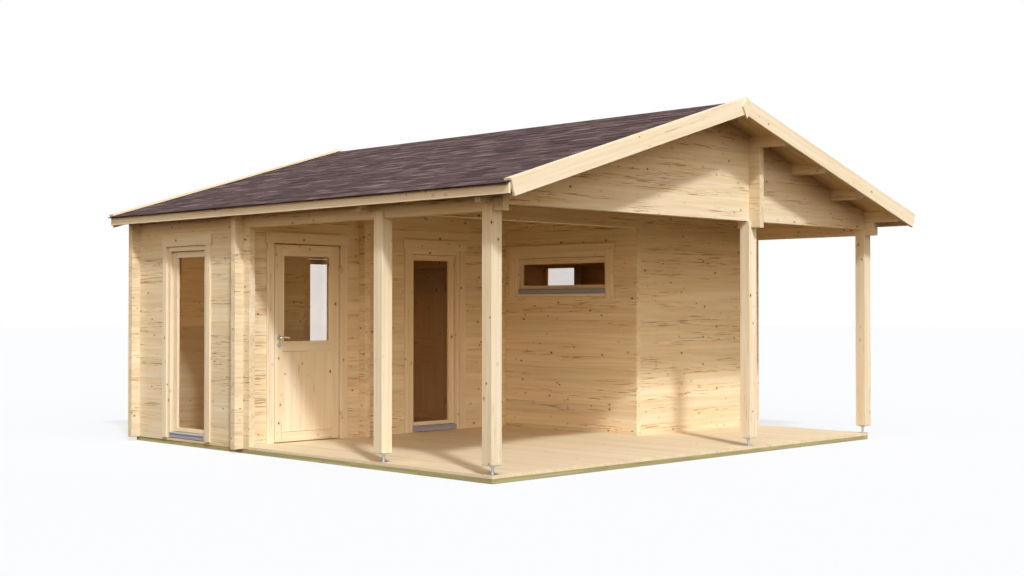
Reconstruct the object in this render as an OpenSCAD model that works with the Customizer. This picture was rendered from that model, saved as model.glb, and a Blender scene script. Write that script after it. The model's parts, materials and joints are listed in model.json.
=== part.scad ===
// Log sauna cabin with an L-shaped covered terrace.
// Millimetres. X to the right along the front gable, Y to the back,
// Z up from the underside of the foundation.

/* [House] */
// Width over the outer faces of the side walls
house_w = 5800; // [4800:10:7000]
// Depth from the front edge of the deck to the outer face of the back wall
house_d = 5630; // [5000:10:7000]
// Depth of the front terrace, deck edge to the sauna's front wall
terrace_d = 1560; // [1300:10:1800]
// Depth from the deck edge to the outer face of the entrance wall
porch_d = 3575; // [3300:5:3900]
// Width of the sauna block over its side walls
sauna_w = 2112; // [2000:1:2200]
// Left face of the entry partition from the outer face of the left wall
entry_in = 1478; // [1400:1:1570]

/* [Logs] */
// Thickness of a wall log
log_t = 70; // [60:1:90]
// Height of one log course
course = 134; // [128:1:140]
// Courses under the gable beams
wall_courses = 17; // [16:1:18]
// How far crossed wall logs stick out
log_stub = 100; // [60:1:140]
// How far the terrace beams stick out
beam_stub = 130; // [90:1:160]
// Height of the wall plate at its outer face
plate_h = 109; // [95:1:130]

/* [Floor] */
// Height of the foundation beams
beam_h = 42; // [35:1:60]
// Width of the foundation beams
beam_w = 70; // [55:1:90]
// Thickness of the floor boards
floor_t = 28; // [20:1:34]
// How far the deck stops inside the outer faces of the walls
deck_inset = 5; // [2:1:20]
// Joist bays under the front terrace
bays_front = 3; // [2:1:4]
// Joist bays between the sauna's front wall and the entrance wall
bays_middle = 4; // [3:1:5]
// Joist bays under the back rooms
bays_back = 4; // [3:1:5]
// Gap between a floor and the walls around it
floor_gap = 2; // [1:0.5:5]

/* [Posts] */
// Side of a square post
post_w = 120; // [100:1:140]
// Free height between the deck and a post, for the screw foot
foot_h = 83; // [60:1:110]
// Middle of the front posts behind the deck edge
post_y = 36; // [35:1:60]
// Middle of the second left post behind the deck edge
post_back_y = 1441; // [1300:1:1470]
// Diameter of the screw of a post foot
foot_screw_d = 24; // [16:1:30]
// Side of the square plates of a post foot
foot_plate_w = 80; // [60:1:100]
// Thickness of those plates
foot_plate_t = 6; // [4:0.5:10]
// Width over flats of the adjusting nut
foot_nut_w = 36; // [30:1:44]
// Height of the adjusting nut
foot_nut_h = 18; // [12:1:24]

/* [Roof] */
// Roof pitch in degrees
pitch = 17; // [14:0.5:20]
// Overhang of the front barge boards before the deck edge
front_over = 457; // [380:1:520]
// Overhang of the back barge boards behind the back wall
back_over = 183; // [120:1:260]
// Overhang of the eaves, wall face to fascia face
eave_over = 228; // [160:1:300]
// Thickness of the roof boards
roof_t = 19; // [16:0.5:28]
// Thickness of the shingle layer
shingle_t = 8; // [5:0.5:12]
// How far the shingles hang past the fascia
drip = 12; // [5:1:25]
// Half width of the ridge cap
cap_w = 150; // [110:1:190]
// Thickness of the ridge cap
cap_t = 5; // [3:0.5:8]
// Purlin width
purlin_w = 68; // [44:1:80]
// Purlin depth at its middle
purlin_h = 106; // [95:1:125]
// Bevel under the purlin ends
purlin_bevel = 45; // [20:1:60]

/* [Trim] */
// Height of a barge board across its slope
barge_h = 131; // [115:1:150]
// Thickness of a barge board
barge_t = 27; // [20:1:34]
// Rise of the barge boards over the roof boards, measured upright
barge_rise = 15; // [10:1:24]
// Thickness of the strip on a barge board
strip_t = 20; // [12:1:24]
// How far the strip stands out before the barge board
strip_over = 0; // [0:1:20]
// How far the strip covers the shingles behind the barge board
strip_in = 50; // [20:1:80]
// How far the strip runs past the lower end of the barge board
strip_end = 8; // [0:1:50]
// Height of the eave fascia
fascia_h = 88; // [75:1:110]
// Thickness of the eave fascia
fascia_t = 19; // [15:1:27]
// Width of the diamond on the gable tip
diamond_w = 130; // [100:1:160]
// Height of the diamond on the gable tip
diamond_h = 220; // [180:1:260]
// Thickness of the diamond
diamond_t = 18; // [12:1:24]
// Thickness of window and door casings
casing_t = 20; // [14:1:28]

/* [Tall windows] */
// Width of the hole in the wall
tall_w = 790; // [700:1:860]
// Bottom of the hole above the foundation
tall_z0 = 68; // [60:1:120]
// From the underside of the eave beams down to the top of the hole
tall_drop = 129; // [100:1:200]
// Width of the frame beside the glass
tall_stile = 135; // [105:1:160]
// Height of the frame below the glass
tall_low_rail = 112; // [95:1:140]
// Height of the frame above the glass
tall_top_rail = 139; // [110:1:170]
// Middle of the side windows behind the middle of the back rooms
side_win = 7.5; // [-40:0.5:40]
// Middle of the front and back tall windows, left of the middle of the house
mid_win = 334; // [300:1:360]
// Casing width
casing_w = 80; // [70:1:100]
// How far a casing laps over the hole's edge
casing_lap = 20; // [12:1:28]
// Header casing height
header_h = 110; // [80:1:130]
// How far the header casing runs past the side casings
header_over = 18; // [8:1:30]
// Thickness of a window's sash behind the fixed frame's face
frame_t = 54; // [44:1:60]
// Width of the fixed frame inside the casings
frame_face = 48; // [35:1:60]
// How far the fixed frame stands out before the wall
frame_out = 14; // [4:1:19]
// Thickness of the glass
glass_t = 6; // [4:1:24]
// How far the glass lies behind the wall's outer face
glass_back = 60; // [45:1:62]

/* [Sauna window] */
// Width of the hole in the wall
sauna_win_w = 1492; // [1400:1:1560]
// Height of the hole
sauna_win_h = 484; // [440:1:540]
// From the underside of the eave beams down to the top of the hole
sauna_win_drop = 141; // [110:1:200]
// Width of the frame beside the glass
sauna_stile = 95; // [80:1:130]
// Height of the frame below the glass
sauna_low_rail = 84; // [75:1:100]
// Height of the frame above the glass
sauna_top_rail = 154; // [120:1:170]
// How far the casings run below the hole
sauna_casing_low = 66; // [50:1:90]
// Middle of the window before the entrance wall's outer face
sauna_win_in = 886; // [850:1:930]

/* [Sills] */
// Thickness of a sill at its nose
sill_t = 57; // [30:1:64]
// How far a sill stands out before the wall
sill_out = 46; // [35:1:60]
// Top of the sill below the glass
sill_drop = 45; // [38:1:60]

/* [Entrance door] */
// Width of the leaf
door_w = 840; // [760:1:900]
// Height of the leaf
door_h = 2028; // [1960:1:2060]
// Thickness of the leaf
door_t = 44; // [38:1:50]
// Middle of the door from the outer face of the left wall
door_in = 790; // [770:1:830]
// Gap around the leaf
door_gap = 6; // [5:0.5:10]
// Thickness of the jambs
jamb_t = 45; // [35:1:50]
// Width of the stiles beside the glass
stile_w = 132; // [110:1:150]
// Bottom of the glass above the lower edge of the leaf
door_glass_z0 = 1030; // [980:1:1080]
// Glass height
door_glass_h = 876; // [820:1:920]
// Width of the stiles beside the lower panel
panel_stile = 95; // [80:1:110]
// Height of the bottom rail
door_rail_h = 98; // [85:1:140]
// Height of the lock rail below the glass
lock_rail_h = 106; // [90:1:120]
// How far the glass and the lower panel lie behind the leaf's face
panel_back = 16; // [10:1:20]
// Thickness of the lower panel
panel_t = 14; // [10:1:20]
// How far the leaf lies behind the wall's outer face
leaf_back = 5; // [3:0.5:10]

/* [Handle] */
// Lever axis above the lower edge of the leaf
lever_z = 1066; // [1000:1:1110]
// Lever axis from the closing edge of the leaf
lever_in = 68; // [55:1:80]
// Reach of the lever
lever_l = 122; // [100:1:140]
// Diameter of the lever
lever_d = 20; // [16:1:24]
// Distance of the lever from the leaf
lever_out = 46; // [38:1:60]
// Diameter of the roses
rose_d = 54; // [44:1:58]
// Thickness of the roses
rose_t = 8; // [5:1:10]
// Lock rose below the lever axis
lock_z = 70; // [64:1:90]
// Running gap of the lever in its rose
lever_gap = 0.5; // [0.3:0.1:1]

/* [Hinges] */
// Diameter of a hinge barrel
barrel_d = 16; // [12:1:18]
// Height of a hinge barrel
barrel_h = 90; // [70:1:110]
// Diameter of a hinge pin
pin_d = 8; // [6:1:9]
// Running gap round a hinge pin
pin_gap = 0.3; // [0.2:0.1:0.6]
// Width of the hinge plates
hinge_leaf = 28; // [20:1:34]
// Distance of the hinge axis before the casing
barrel_out = 14; // [13:1:18]
// Distance of the outer hinges from the ends of a leaf
hinge_end = 240; // [160:1:320]

/* [Inner door] */
// Width of the leaf
inner_w = 700; // [640:1:740]
// Top of the leaf
inner_z1 = 1936; // [1900:1:1970]
// Thickness of the leaf
inner_t = 40; // [34:1:44]
// Edge of the leaf nearest the entrance wall, before the back wall's outer face
inner_in = 990; // [900:1:1030]
// Jamb thickness
inner_jamb = 34; // [28:1:40]
// Width of the stiles
inner_stile = 110; // [90:1:130]
// Height of the bottom rail
inner_low_rail = 60; // [50:1:120]
// Height of the top rail
inner_top_rail = 150; // [110:1:180]
// Top of the lower panel above the leaf's lower edge
inner_panel_z1 = 690; // [600:1:760]
// Bottom of the upper panel above the leaf's lower edge
inner_panel_z0 = 1030; // [960:1:1100]
// Depth of the panels below the stiles
inner_panel_d = 10; // [6:1:12]

/* [Doorways] */
// Near edge of the entry doorway behind the entrance wall
entry_near = 115; // [100:1:160]
// Width of the entry doorway
entry_w = 800; // [740:1:860]
// Top of the doorways above the foundation
doorway_z = 2052; // [1990:1:2080]
// Left edge of the sauna doorway, from the sauna's side wall
sauna_in = 560; // [500:1:600]
// Width of the sauna doorway
sauna_door_w = 690; // [640:1:740]

/* [Hidden] */
wood = [0.87, 0.75, 0.55];
trim = [0.90, 0.80, 0.62];
treated = [0.62, 0.60, 0.36];
steel = [0.75, 0.76, 0.78];
pane = [0.75, 0.85, 0.88];
sheet = [0.36, 0.30, 0.31];
sill_c = [0.45, 0.48, 0.56];
$fn = 48;
big = 20000;
seam = 0.3;

tp = tan(pitch);
cp = cos(pitch);
hw = house_w / 2;
// the whole length between the barge boards is centred on Y = 0
roof_l = front_over + house_d + back_over;
y_deck = -roof_l / 2 + front_over;
y_barge0 = -roof_l / 2;
y_barge1 = roof_l / 2;
y_door = y_deck + porch_d;
y_sauna = y_deck + terrace_d;
y_back = y_deck + house_d;
y_gable = y_deck + post_y - log_t / 2;
x_in = hw - log_t;
x_entry = entry_in - hw;
x_beam = hw - log_t / 2;
z_base = beam_h;
z_floor = beam_h + floor_t;
z_lintel = z_base + wall_courses * course;
z_eave = z_lintel - course / 2;
z_beam_top = z_eave + course;
z_apex = z_beam_top + plate_h + hw * tp;
purlin_dx = (x_beam + purlin_w) / 4;
mid_post_x = x_beam / 4;
sauna_x = hw - sauna_w;
// the layers of the roof lie this far apart, so that their slopes don't cut each other
lay = 0.1;
bv = lay;
tv = bv + roof_t / cp;
uv = tv + lay;
sv = uv + shingle_t / cp;
fascia_x = hw + eave_over;
board_x = fascia_x - fascia_t;
barge_top = z_apex + tv + barge_rise;
barge_v = barge_h / cp;
tall_z1 = z_eave - tall_drop;
tall_glass_w = tall_w - 2 * tall_stile;
tall_glass_z0 = tall_z0 + tall_low_rail;
tall_glass_z1 = tall_z1 - tall_top_rail;
sauna_win_z1 = z_eave - sauna_win_drop;
sauna_win_z0 = sauna_win_z1 - sauna_win_h;
sauna_glass_w = sauna_win_w - 2 * sauna_stile;
sauna_glass_z0 = sauna_win_z0 + sauna_low_rail;
sauna_glass_z1 = sauna_win_z1 - sauna_top_rail;
casing_in = tall_w - 2 * casing_lap;
y_side_win = (y_door + y_back) / 2 + side_win;
y_sauna_win = y_door - sauna_win_in;
door_x = hw - door_in;
door_x0 = -door_x - door_w / 2;
door_x1 = -door_x + door_w / 2;
door_z0 = z_floor + door_gap + 4;
door_z1 = door_z0 + door_h;
leaf_y0 = y_door + leaf_back;
leaf_y1 = leaf_y0 + door_t;
open_x0 = door_x0 - door_gap - jamb_t;
open_x1 = door_x1 + door_gap + jamb_t;
open_z1 = door_z1 + door_gap + jamb_t;
hinge_x = door_x1 + door_gap / 2;
hinge_y = y_door - casing_t - barrel_out;
gx0 = door_x0 + stile_w;
gx1 = door_x1 - stile_w;
gz0 = door_z0 + door_glass_z0;
gz1 = gz0 + door_glass_h;
pz0 = door_z0 + door_rail_h;
pz1 = gz0 - lock_rail_h;
px0 = door_x0 + panel_stile;
px1 = door_x1 - panel_stile;
lever_x = door_x0 + lever_in;
lever_zz = door_z0 + lever_z;
inner_y0 = y_back - inner_in;
inner_y1 = inner_y0 + inner_w;
inner_z0 = z_floor + door_gap;
inner_face = sauna_x + leaf_back;
in_hinge_y = inner_y0 - door_gap / 2;
in_open_y0 = inner_y0 - door_gap - inner_jamb;
in_open_y1 = inner_y1 + door_gap + inner_jamb;
in_open_z1 = inner_z1 + door_gap + inner_jamb;
entry_y0f = y_door + log_t + entry_near;
entry_y1f = entry_y0f + entry_w;
sauna_dx0 = sauna_x + log_t + sauna_in;
sauna_dx1 = sauna_dx0 + sauna_door_w;

function roof_z(x) = z_apex - abs(x) * tp;

module block(a, b) {
    translate(a) cube([b[0] - a[0], b[1] - a[1], b[2] - a[2]]);
}

// a profile drawn in X and Z, run along Y from y0 to y1
module run_y(y0, y1) {
    translate([0, y1, 0]) rotate([90, 0, 0]) linear_extrude(height = y1 - y0) children();
}

// a profile drawn in Y and Z, run along X from x0 to x1
module run_x(x0, x1) {
    translate([x0, 0, 0]) rotate([90, 0, 90]) linear_extrude(height = x1 - x0) children();
}

module rect(x0, x1, z0, z1) {
    translate([x0, z0]) square([x1 - x0, z1 - z0]);
}

module under_roof() {
    polygon([[-big, roof_z(big)], [0, z_apex], [big, roof_z(big)], [big, -big], [-big, -big]]);
}

module purlin_profile(x) {
    intersection() {
        rect(x - purlin_w / 2, x + purlin_w / 2, roof_z(x) - purlin_h, roof_z(0) + purlin_h);
        under_roof();
    }
}

module purlin_slots() {
    for (k = [-3 : 3]) rect(k * purlin_dx - purlin_w / 2, k * purlin_dx + purlin_w / 2,
                            roof_z(k * purlin_dx) - purlin_h, z_apex + purlin_h);
}

// a gable between x0 and x1 from z0 up to the roof, with a slot for each purlin
module gable_profile(x0, x1, z0) {
    difference() {
        intersection() {
            rect(x0, x1, z0, z_apex + 1);
            under_roof();
        }
        purlin_slots();
    }
}

// rectangle w by z0..z1 round c, drawn in the plane of a wall
module hole(c, w, z0, z1) {
    rect(c - w / 2, c + w / 2, z0, z1);
}

module ring(c, w, z0, z1, gw, g0, g1) {
    difference() {
        hole(c, w, z0, z1);
        hole(c, gw, g0, g1);
    }
}

module edge_beam_left() {
    color(treated) block([-hw + deck_inset, y_deck, 0],
                         [-hw + deck_inset + beam_w, y_back - deck_inset, beam_h]);
}

module edge_beam_right() {
    color(treated) block([hw - deck_inset - beam_w, y_deck, 0],
                         [hw - deck_inset, y_back - deck_inset, beam_h]);
}

module floor_joists() {
    ys = concat([for (k = [0 : bays_front - 1]) y_deck + k * terrace_d / bays_front],
                [for (k = [0 : bays_middle - 1]) y_sauna + k * (porch_d - terrace_d) / bays_middle],
                [for (k = [0 : bays_back]) y_door + k * (y_back - log_t - y_door) / bays_back]);
    for (y = ys) color(treated) translate([-hw + deck_inset + beam_w, y, 0])
        cube([house_w - 2 * deck_inset - 2 * beam_w, beam_w, beam_h]);
}

module terrace_deck() {
    a = hw - deck_inset;
    b = x_in - floor_gap;
    s = log_stub + floor_gap;
    color(trim) translate([0, 0, z_base]) linear_extrude(height = floor_t)
        polygon([[-a, y_deck], [a, y_deck], [a, y_sauna - s], [b, y_sauna - s],
                 [b, y_sauna - floor_gap], [sauna_x - floor_gap, y_sauna - floor_gap],
                 [sauna_x - floor_gap, y_door - floor_gap],
                 [x_entry + log_t + floor_gap, y_door - floor_gap],
                 [x_entry + log_t + floor_gap, y_door - s], [x_entry - floor_gap, y_door - s],
                 [x_entry - floor_gap, y_door - floor_gap],
                 [-b, y_door - floor_gap], [-b, y_door - s], [-a, y_door - s]]);
}

module room_floors() {
    g = floor_gap;
    color(trim) {
        block([-x_in + g, y_door + log_t + g, z_base], [x_entry - g, y_back - log_t - g, z_floor]);
        block([x_entry + log_t + g, y_door + log_t + g, z_base],
              [sauna_x - g, y_back - log_t - g, z_floor]);
        block([sauna_x + log_t + g, y_door + log_t + g, z_base],
              [x_in - g, y_back - log_t - g, z_floor]);
        block([sauna_x + log_t + g, y_sauna + log_t + g, z_base], [x_in - g, y_door - g, z_floor]);
        block([x_entry, entry_y0f + g, z_base], [x_entry + log_t, entry_y1f - g, z_floor]);
        block([sauna_dx0 + g, y_door, z_base], [sauna_dx1 - g, y_door + log_t, z_floor]);
    }
}

module side_wall_profile(y0) {
    difference() {
        rect(y0 - log_stub, y_back + log_stub, z_base, z_eave);
        hole(y_side_win, tall_w, tall_z0, tall_z1);
    }
}

module left_wall() {
    color(wood) run_x(-hw, -x_in) side_wall_profile(y_door);
}

module right_wall() {
    color(wood) run_x(x_in, hw) side_wall_profile(y_sauna);
}

// log ends that stick out past the left (s = -1) or right (s = 1) side wall
module stub(s, y, l, z0) {
    run_y(y, y + log_t) intersection() {
        rect(s < 0 ? -hw - l : hw, s < 0 ? -hw : hw + l, z0, z_lintel + course);
        under_roof();
    }
}

module back_wall() {
    x0 = -mid_win - tall_w / 2;
    x1 = x0 + tall_w;
    color(wood) {
        block([-x_in, y_back - log_t, z_base], [x0, y_back, z_lintel]);
        block([x1, y_back - log_t, z_base], [x_in, y_back, z_lintel]);
        block([x0 + seam, y_back - log_t, z_base], [x1 - seam, y_back, tall_z0]);
        block([x0 + seam, y_back - log_t, tall_z1], [x1 - seam, y_back, z_lintel]);
        for (s = [-1, 1]) stub(s, y_back - log_t, log_stub, z_base);
    }
}

module back_gable() {
    color(wood) run_y(y_back - log_t, y_back) gable_profile(-x_in, x_in, z_lintel);
}

module door_wall() {
    color(wood) {
        block([-x_in, y_door, z_base], [open_x0, y_door + log_t, z_lintel]);
        block([open_x1, y_door, z_base], [x_entry, y_door + log_t, z_lintel]);
        stub(-1, y_door, log_stub, z_base);
    }
}

module door_wall_gable() {
    color(wood) run_y(y_door, y_door + log_t) {
        gable_profile(-x_in, sauna_x, z_lintel);
        rect(open_x0, open_x1, open_z1, z_lintel + 1);
    }
}

module window_wall() {
    color(wood) run_y(y_door, y_door + log_t) difference() {
        rect(x_entry + log_t, sauna_x, z_base, z_lintel);
        hole(-mid_win, tall_w, tall_z0, tall_z1);
    }
}

// profile in X and Z of an inner wall under the roof, from z0
module slice_profile(x0, x1, z0) {
    intersection() {
        rect(x0, x1, z0, z_apex);
        under_roof();
    }
}

module entry_partition() {
    color(wood) {
        block([x_entry, y_door - log_stub, z_base],
              [x_entry + log_t, entry_y0f, z_lintel - seam]);
        block([x_entry, entry_y1f, z_base], [x_entry + log_t, y_back - log_t, z_lintel - seam]);
        block([x_entry, entry_y0f + seam, doorway_z],
              [x_entry + log_t, entry_y1f - seam, z_lintel - seam]);
        run_y(y_door + log_t, y_back - log_t) difference() {
            slice_profile(x_entry, x_entry + log_t, z_lintel);
            purlin_slots();
        }
    }
}

module sauna_side_wall() {
    color(wood) {
        run_x(sauna_x, sauna_x + log_t) difference() {
            rect(y_sauna, y_door + log_t, z_base, z_lintel);
            hole(y_sauna_win, sauna_win_w, sauna_win_z0, sauna_win_z1);
        }
        run_y(y_sauna + log_t, y_door + log_t) difference() {
            slice_profile(sauna_x, sauna_x + log_t, z_lintel);
            purlin_slots();
        }
    }
}

module wash_wall() {
    x1 = sauna_x + log_t;
    color(wood) {
        block([sauna_x, y_door + log_t, z_base], [x1, in_open_y0, z_lintel - seam]);
        block([sauna_x, in_open_y1, z_base], [x1, y_back - log_t, z_lintel - seam]);
        block([sauna_x, in_open_y0 + seam, in_open_z1],
              [x1, in_open_y1 - seam, z_lintel - seam]);
        run_y(y_door + log_t, y_back - log_t) difference() {
            slice_profile(sauna_x, x1, z_lintel);
            purlin_slots();
        }
    }
}

module sauna_partition() {
    x0 = sauna_x + log_t;
    color(wood) {
        block([x0, y_door, z_base], [sauna_dx0, y_door + log_t, z_lintel - seam]);
        block([sauna_dx1, y_door, z_base], [x_in, y_door + log_t, z_lintel - seam]);
        block([sauna_dx0 + seam, y_door, doorway_z],
              [sauna_dx1 - seam, y_door + log_t, z_lintel - seam]);
        run_y(y_door, y_door + log_t) gable_profile(x0, x_in, z_lintel);
    }
}

module sauna_front_wall() {
    color(wood) {
        block([sauna_x + log_t, y_sauna, z_base], [x_in, y_sauna + log_t, z_lintel]);
        block([hw, y_sauna, z_base], [hw + log_stub, y_sauna + log_t, z_lintel]);
    }
}

module inner_gable() {
    color(wood) {
        run_y(y_sauna, y_sauna + log_t) gable_profile(-x_in, x_in, z_lintel);
        stub(-1, y_sauna, beam_stub, z_lintel);
        stub(1, y_sauna, log_stub, z_lintel + seam);
    }
}

module front_gable() {
    color(wood) {
        run_y(y_gable, y_gable + log_t) gable_profile(-x_in, x_in, z_lintel);
        for (s = [-1, 1]) stub(s, y_gable, beam_stub, z_lintel);
    }
}

// short logs across the front gable, over the middle post and under its purlin
module gable_cross_log() {
    x0 = mid_post_x - log_t / 2;
    x1 = mid_post_x + log_t / 2;
    z1 = roof_z(purlin_dx) - purlin_h - lay;
    color(wood) {
        block([x0, y_gable - beam_stub, z_lintel], [x1, y_gable, z1]);
        block([x0, y_gable - beam_stub, z_eave], [x1, y_deck + post_y - post_w / 2, z_lintel + 1]);
        block([x0, y_gable + log_t, z_lintel], [x1, y_gable + 2 * log_t, z1]);
        block([x0, y_deck + post_y + post_w / 2, z_eave], [x1, y_gable + 2 * log_t, z_lintel + 1]);
    }
}

// top log of a side wall, running out over the terrace, and the plate on it
module eave_beam(s) {
    color(wood) intersection() {
        run_y(y_barge0 + barge_t, y_barge1 - barge_t) intersection() {
            rect(s < 0 ? -hw : x_in, s < 0 ? -x_in : hw, z_eave, z_apex);
            under_roof();
        }
        run_x(-hw, hw) difference() {
            rect(y_barge0, y_barge1, z_eave, z_apex);
            rect(y_barge0, y_gable - beam_stub, z_eave, z_beam_top);
            rect(y_back + log_stub, y_barge1, z_eave, z_beam_top);
            translate([y_barge0 + barge_t, z_beam_top]) rotate(45)
                square(purlin_bevel, center = true);
        }
    }
}

module left_eave_beam() {
    eave_beam(-1);
}

module right_eave_beam() {
    eave_beam(1);
}

module roof_purlins() {
    color(wood) for (k = [-3 : 3]) {
        x = k * purlin_dx;
        z0 = roof_z(x) - purlin_h;
        difference() {
            run_y(y_barge0 + barge_t, y_barge1 - barge_t) purlin_profile(x);
            for (y = [y_barge0 + barge_t, y_barge1 - barge_t])
                translate([x, y, z0]) rotate([45, 0, 0])
                    cube([purlin_w + 2, purlin_bevel, purlin_bevel], center = true);
        }
    }
}

module post(x, y, z1) {
    block([x - post_w / 2, y - post_w / 2, z_floor + foot_h], [x + post_w / 2, y + post_w / 2, z1]);
}

// a post under an eave beam, with a cheek up each side of it
module fork_post(x, y) {
    r = post_w / 2;
    post(x, y, z_eave);
    block([x - r, y - r, z_eave - 1], [x - log_t / 2, y + r, z_lintel]);
    block([x + log_t / 2, y - r, z_eave - 1], [x + r, y + r, z_lintel]);
}

module posts() {
    color(wood) {
        fork_post(-x_beam, y_deck + post_y);
        fork_post(-x_beam, y_deck + post_back_y);
        fork_post(x_beam, y_deck + post_y);
        post(mid_post_x, y_deck + post_y, z_lintel);
    }
}

module post_foot(x, y) {
    translate([x, y, z_floor]) {
        translate([-foot_plate_w / 2, -foot_plate_w / 2, 0])
            cube([foot_plate_w, foot_plate_w, foot_plate_t]);
        cylinder(d = foot_screw_d, h = foot_h);
        translate([0, 0, foot_h - foot_plate_t - foot_nut_h])
            cylinder(d = foot_nut_w / cos(30), h = foot_nut_h + 1, $fn = 6);
        translate([-foot_plate_w / 2, -foot_plate_w / 2, foot_h - foot_plate_t])
            cube([foot_plate_w, foot_plate_w, foot_plate_t]);
    }
}

module post_feet() {
    inset = foot_plate_w / 2 - (hw - deck_inset - x_beam);
    dx = max(0, inset);
    dy = max(0, foot_plate_w / 2 - post_y);
    color(steel) {
        post_foot(-x_beam + dx, y_deck + post_y + dy);
        post_foot(-x_beam + dx, y_deck + post_back_y);
        post_foot(x_beam - dx, y_deck + post_y + dy);
        post_foot(mid_post_x, y_deck + post_y + dy);
    }
}

// one roof slope as a layer from height v0 to v1 over the purlins, out to x1
module slope(s, v0, v1, x1, y0, y1) {
    run_y(y0, y1) polygon([[0, z_apex + v0], [s * x1, z_apex + v0 - x1 * tp],
                           [s * x1, z_apex + v1 - x1 * tp], [0, z_apex + v1]]);
}

module roof_boards_left() {
    color(wood) slope(-1, bv, tv, board_x, y_barge0 + barge_t, y_barge1 - barge_t);
}

module roof_boards_right() {
    color(wood) slope(1, bv, tv, board_x, y_barge0 + barge_t, y_barge1 - barge_t);
}

module shingles_left() {
    color(sheet) slope(-1, uv, sv, fascia_x + drip, y_barge0 + barge_t, y_barge1 - barge_t);
}

module shingles_right() {
    color(sheet) slope(1, uv, sv, fascia_x + drip, y_barge0 + barge_t, y_barge1 - barge_t);
}

module ridge_cap() {
    v = sv + lay;
    w = cap_w * cp;
    color(sheet) for (s = [-1, 1]) run_y(y_barge0 + barge_t, y_barge1 - barge_t)
        polygon([[s * lay, z_apex + v], [s * w, z_apex + v - w * tp],
                 [s * w, z_apex + v + cap_t - w * tp], [s * lay, z_apex + v + cap_t]]);
}

// a barge board with the strip on its upper edge, left (s = -1) or right (s = 1)
module barge_board(s, y0, y1, ys0, ys1) {
    x1 = fascia_x - 4;
    xb = x1 - barge_h * sin(pitch);
    xs = x1 + strip_end * cp;
    sx = strip_t * sin(pitch);
    zt = barge_top - lay;
    run_y(y0, y1) polygon([[s * seam, zt], [s * x1, zt - x1 * tp],
                           [s * xb, barge_top - barge_v - xb * tp], [s * seam, barge_top - barge_v]]);
    run_y(ys0, ys1) polygon([[s * seam, barge_top], [s * xs, barge_top - xs * tp],
                             [s * (xs + sx), barge_top - xs * tp + strip_t * cp],
                             [s * seam, barge_top + strip_t / cp]]);
}

module front_barge_boards() {
    y0 = y_barge0;
    color(trim) for (s = [-1, 1])
        barge_board(s, y0, y0 + barge_t, y0 - strip_over, y0 + barge_t + strip_in);
}

module back_barge_boards() {
    y1 = y_barge1;
    color(trim) for (s = [-1, 1])
        barge_board(s, y1 - barge_t, y1, y1 - barge_t - strip_in, y1 + strip_over);
}

module eave_fascias() {
    z1 = z_apex + tv - fascia_x * tp;
    color(trim) for (s = [-1, 1]) run_y(y_barge0 + barge_t, y_barge1 - barge_t)
        polygon([[s * board_x, z1 - fascia_h], [s * fascia_x, z1 - fascia_h],
                 [s * fascia_x, z1], [s * board_x, z1 + fascia_t * tp]]);
}

module gable_diamonds() {
    zc = barge_top - barge_v / 2;
    h = diamond_h / 2;
    w = diamond_w / 2;
    color(trim) for (y = [y_barge0 - strip_over - diamond_t, y_barge1 + strip_over])
        run_y(y, y + diamond_t) polygon([[0, zc + h], [w, zc], [0, zc - h], [-w, zc]]);
}

module tall_ring(c) {
    ring(c, tall_w, tall_z0, tall_z1, tall_glass_w, tall_glass_z0, tall_glass_z1);
}

// the fixed frame between the casings of a hole w wide: two legs and a head
module fixed_face(c, w, z0, z1) {
    a = w / 2 - casing_lap;
    b = a - frame_face;
    zt = z1 - casing_lap;
    rect(c - a, c - b, z0, zt);
    rect(c + b, c + a, z0, zt);
    rect(c - b + seam, c + b - seam, zt - frame_face, zt);
}

module tall_face(c) {
    fixed_face(c, tall_w, max(tall_z0, z_floor + 1), tall_z1);
}

module window_frames() {
    d0 = log_t - frame_t;
    d1 = d0 - seam;
    f = frame_out;
    color(trim) {
        run_x(-hw + d0, -x_in) tall_ring(y_side_win);
        run_x(-hw - f, -hw + d1) tall_face(y_side_win);
        run_x(x_in, hw - d0) tall_ring(y_side_win);
        run_x(hw - d1, hw + f) tall_face(y_side_win);
        run_y(y_door + d0, y_door + log_t) tall_ring(-mid_win);
        run_y(y_door - f, y_door + d1) tall_face(-mid_win);
        run_y(y_back - log_t, y_back - d0) tall_ring(-mid_win);
        run_y(y_back - d1, y_back + f) tall_face(-mid_win);
    }
}

module sauna_window_frame() {
    color(trim) {
        run_x(sauna_x + log_t - frame_t, sauna_x + log_t)
            ring(y_sauna_win, sauna_win_w, sauna_win_z0, sauna_win_z1,
                 sauna_glass_w, sauna_glass_z0, sauna_glass_z1);
        run_x(sauna_x - frame_out, sauna_x + log_t - frame_t - seam)
            fixed_face(y_sauna_win, sauna_win_w, sauna_win_z0, sauna_win_z1);
    }
}

module window_glass() {
    g = glass_t;
    b = glass_back;
    color(pane) {
        run_x(-hw + b, -hw + b + g) hole(y_side_win, tall_glass_w, tall_glass_z0, tall_glass_z1);
        run_x(hw - b - g, hw - b) hole(y_side_win, tall_glass_w, tall_glass_z0, tall_glass_z1);
        run_y(y_door + b, y_door + b + g) hole(-mid_win, tall_glass_w, tall_glass_z0, tall_glass_z1);
        run_y(y_back - b - g, y_back - b) hole(-mid_win, tall_glass_w, tall_glass_z0, tall_glass_z1);
        run_x(sauna_x + b, sauna_x + b + g)
            hole(y_sauna_win, sauna_glass_w, sauna_glass_z0, sauna_glass_z1);
    }
}

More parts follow.
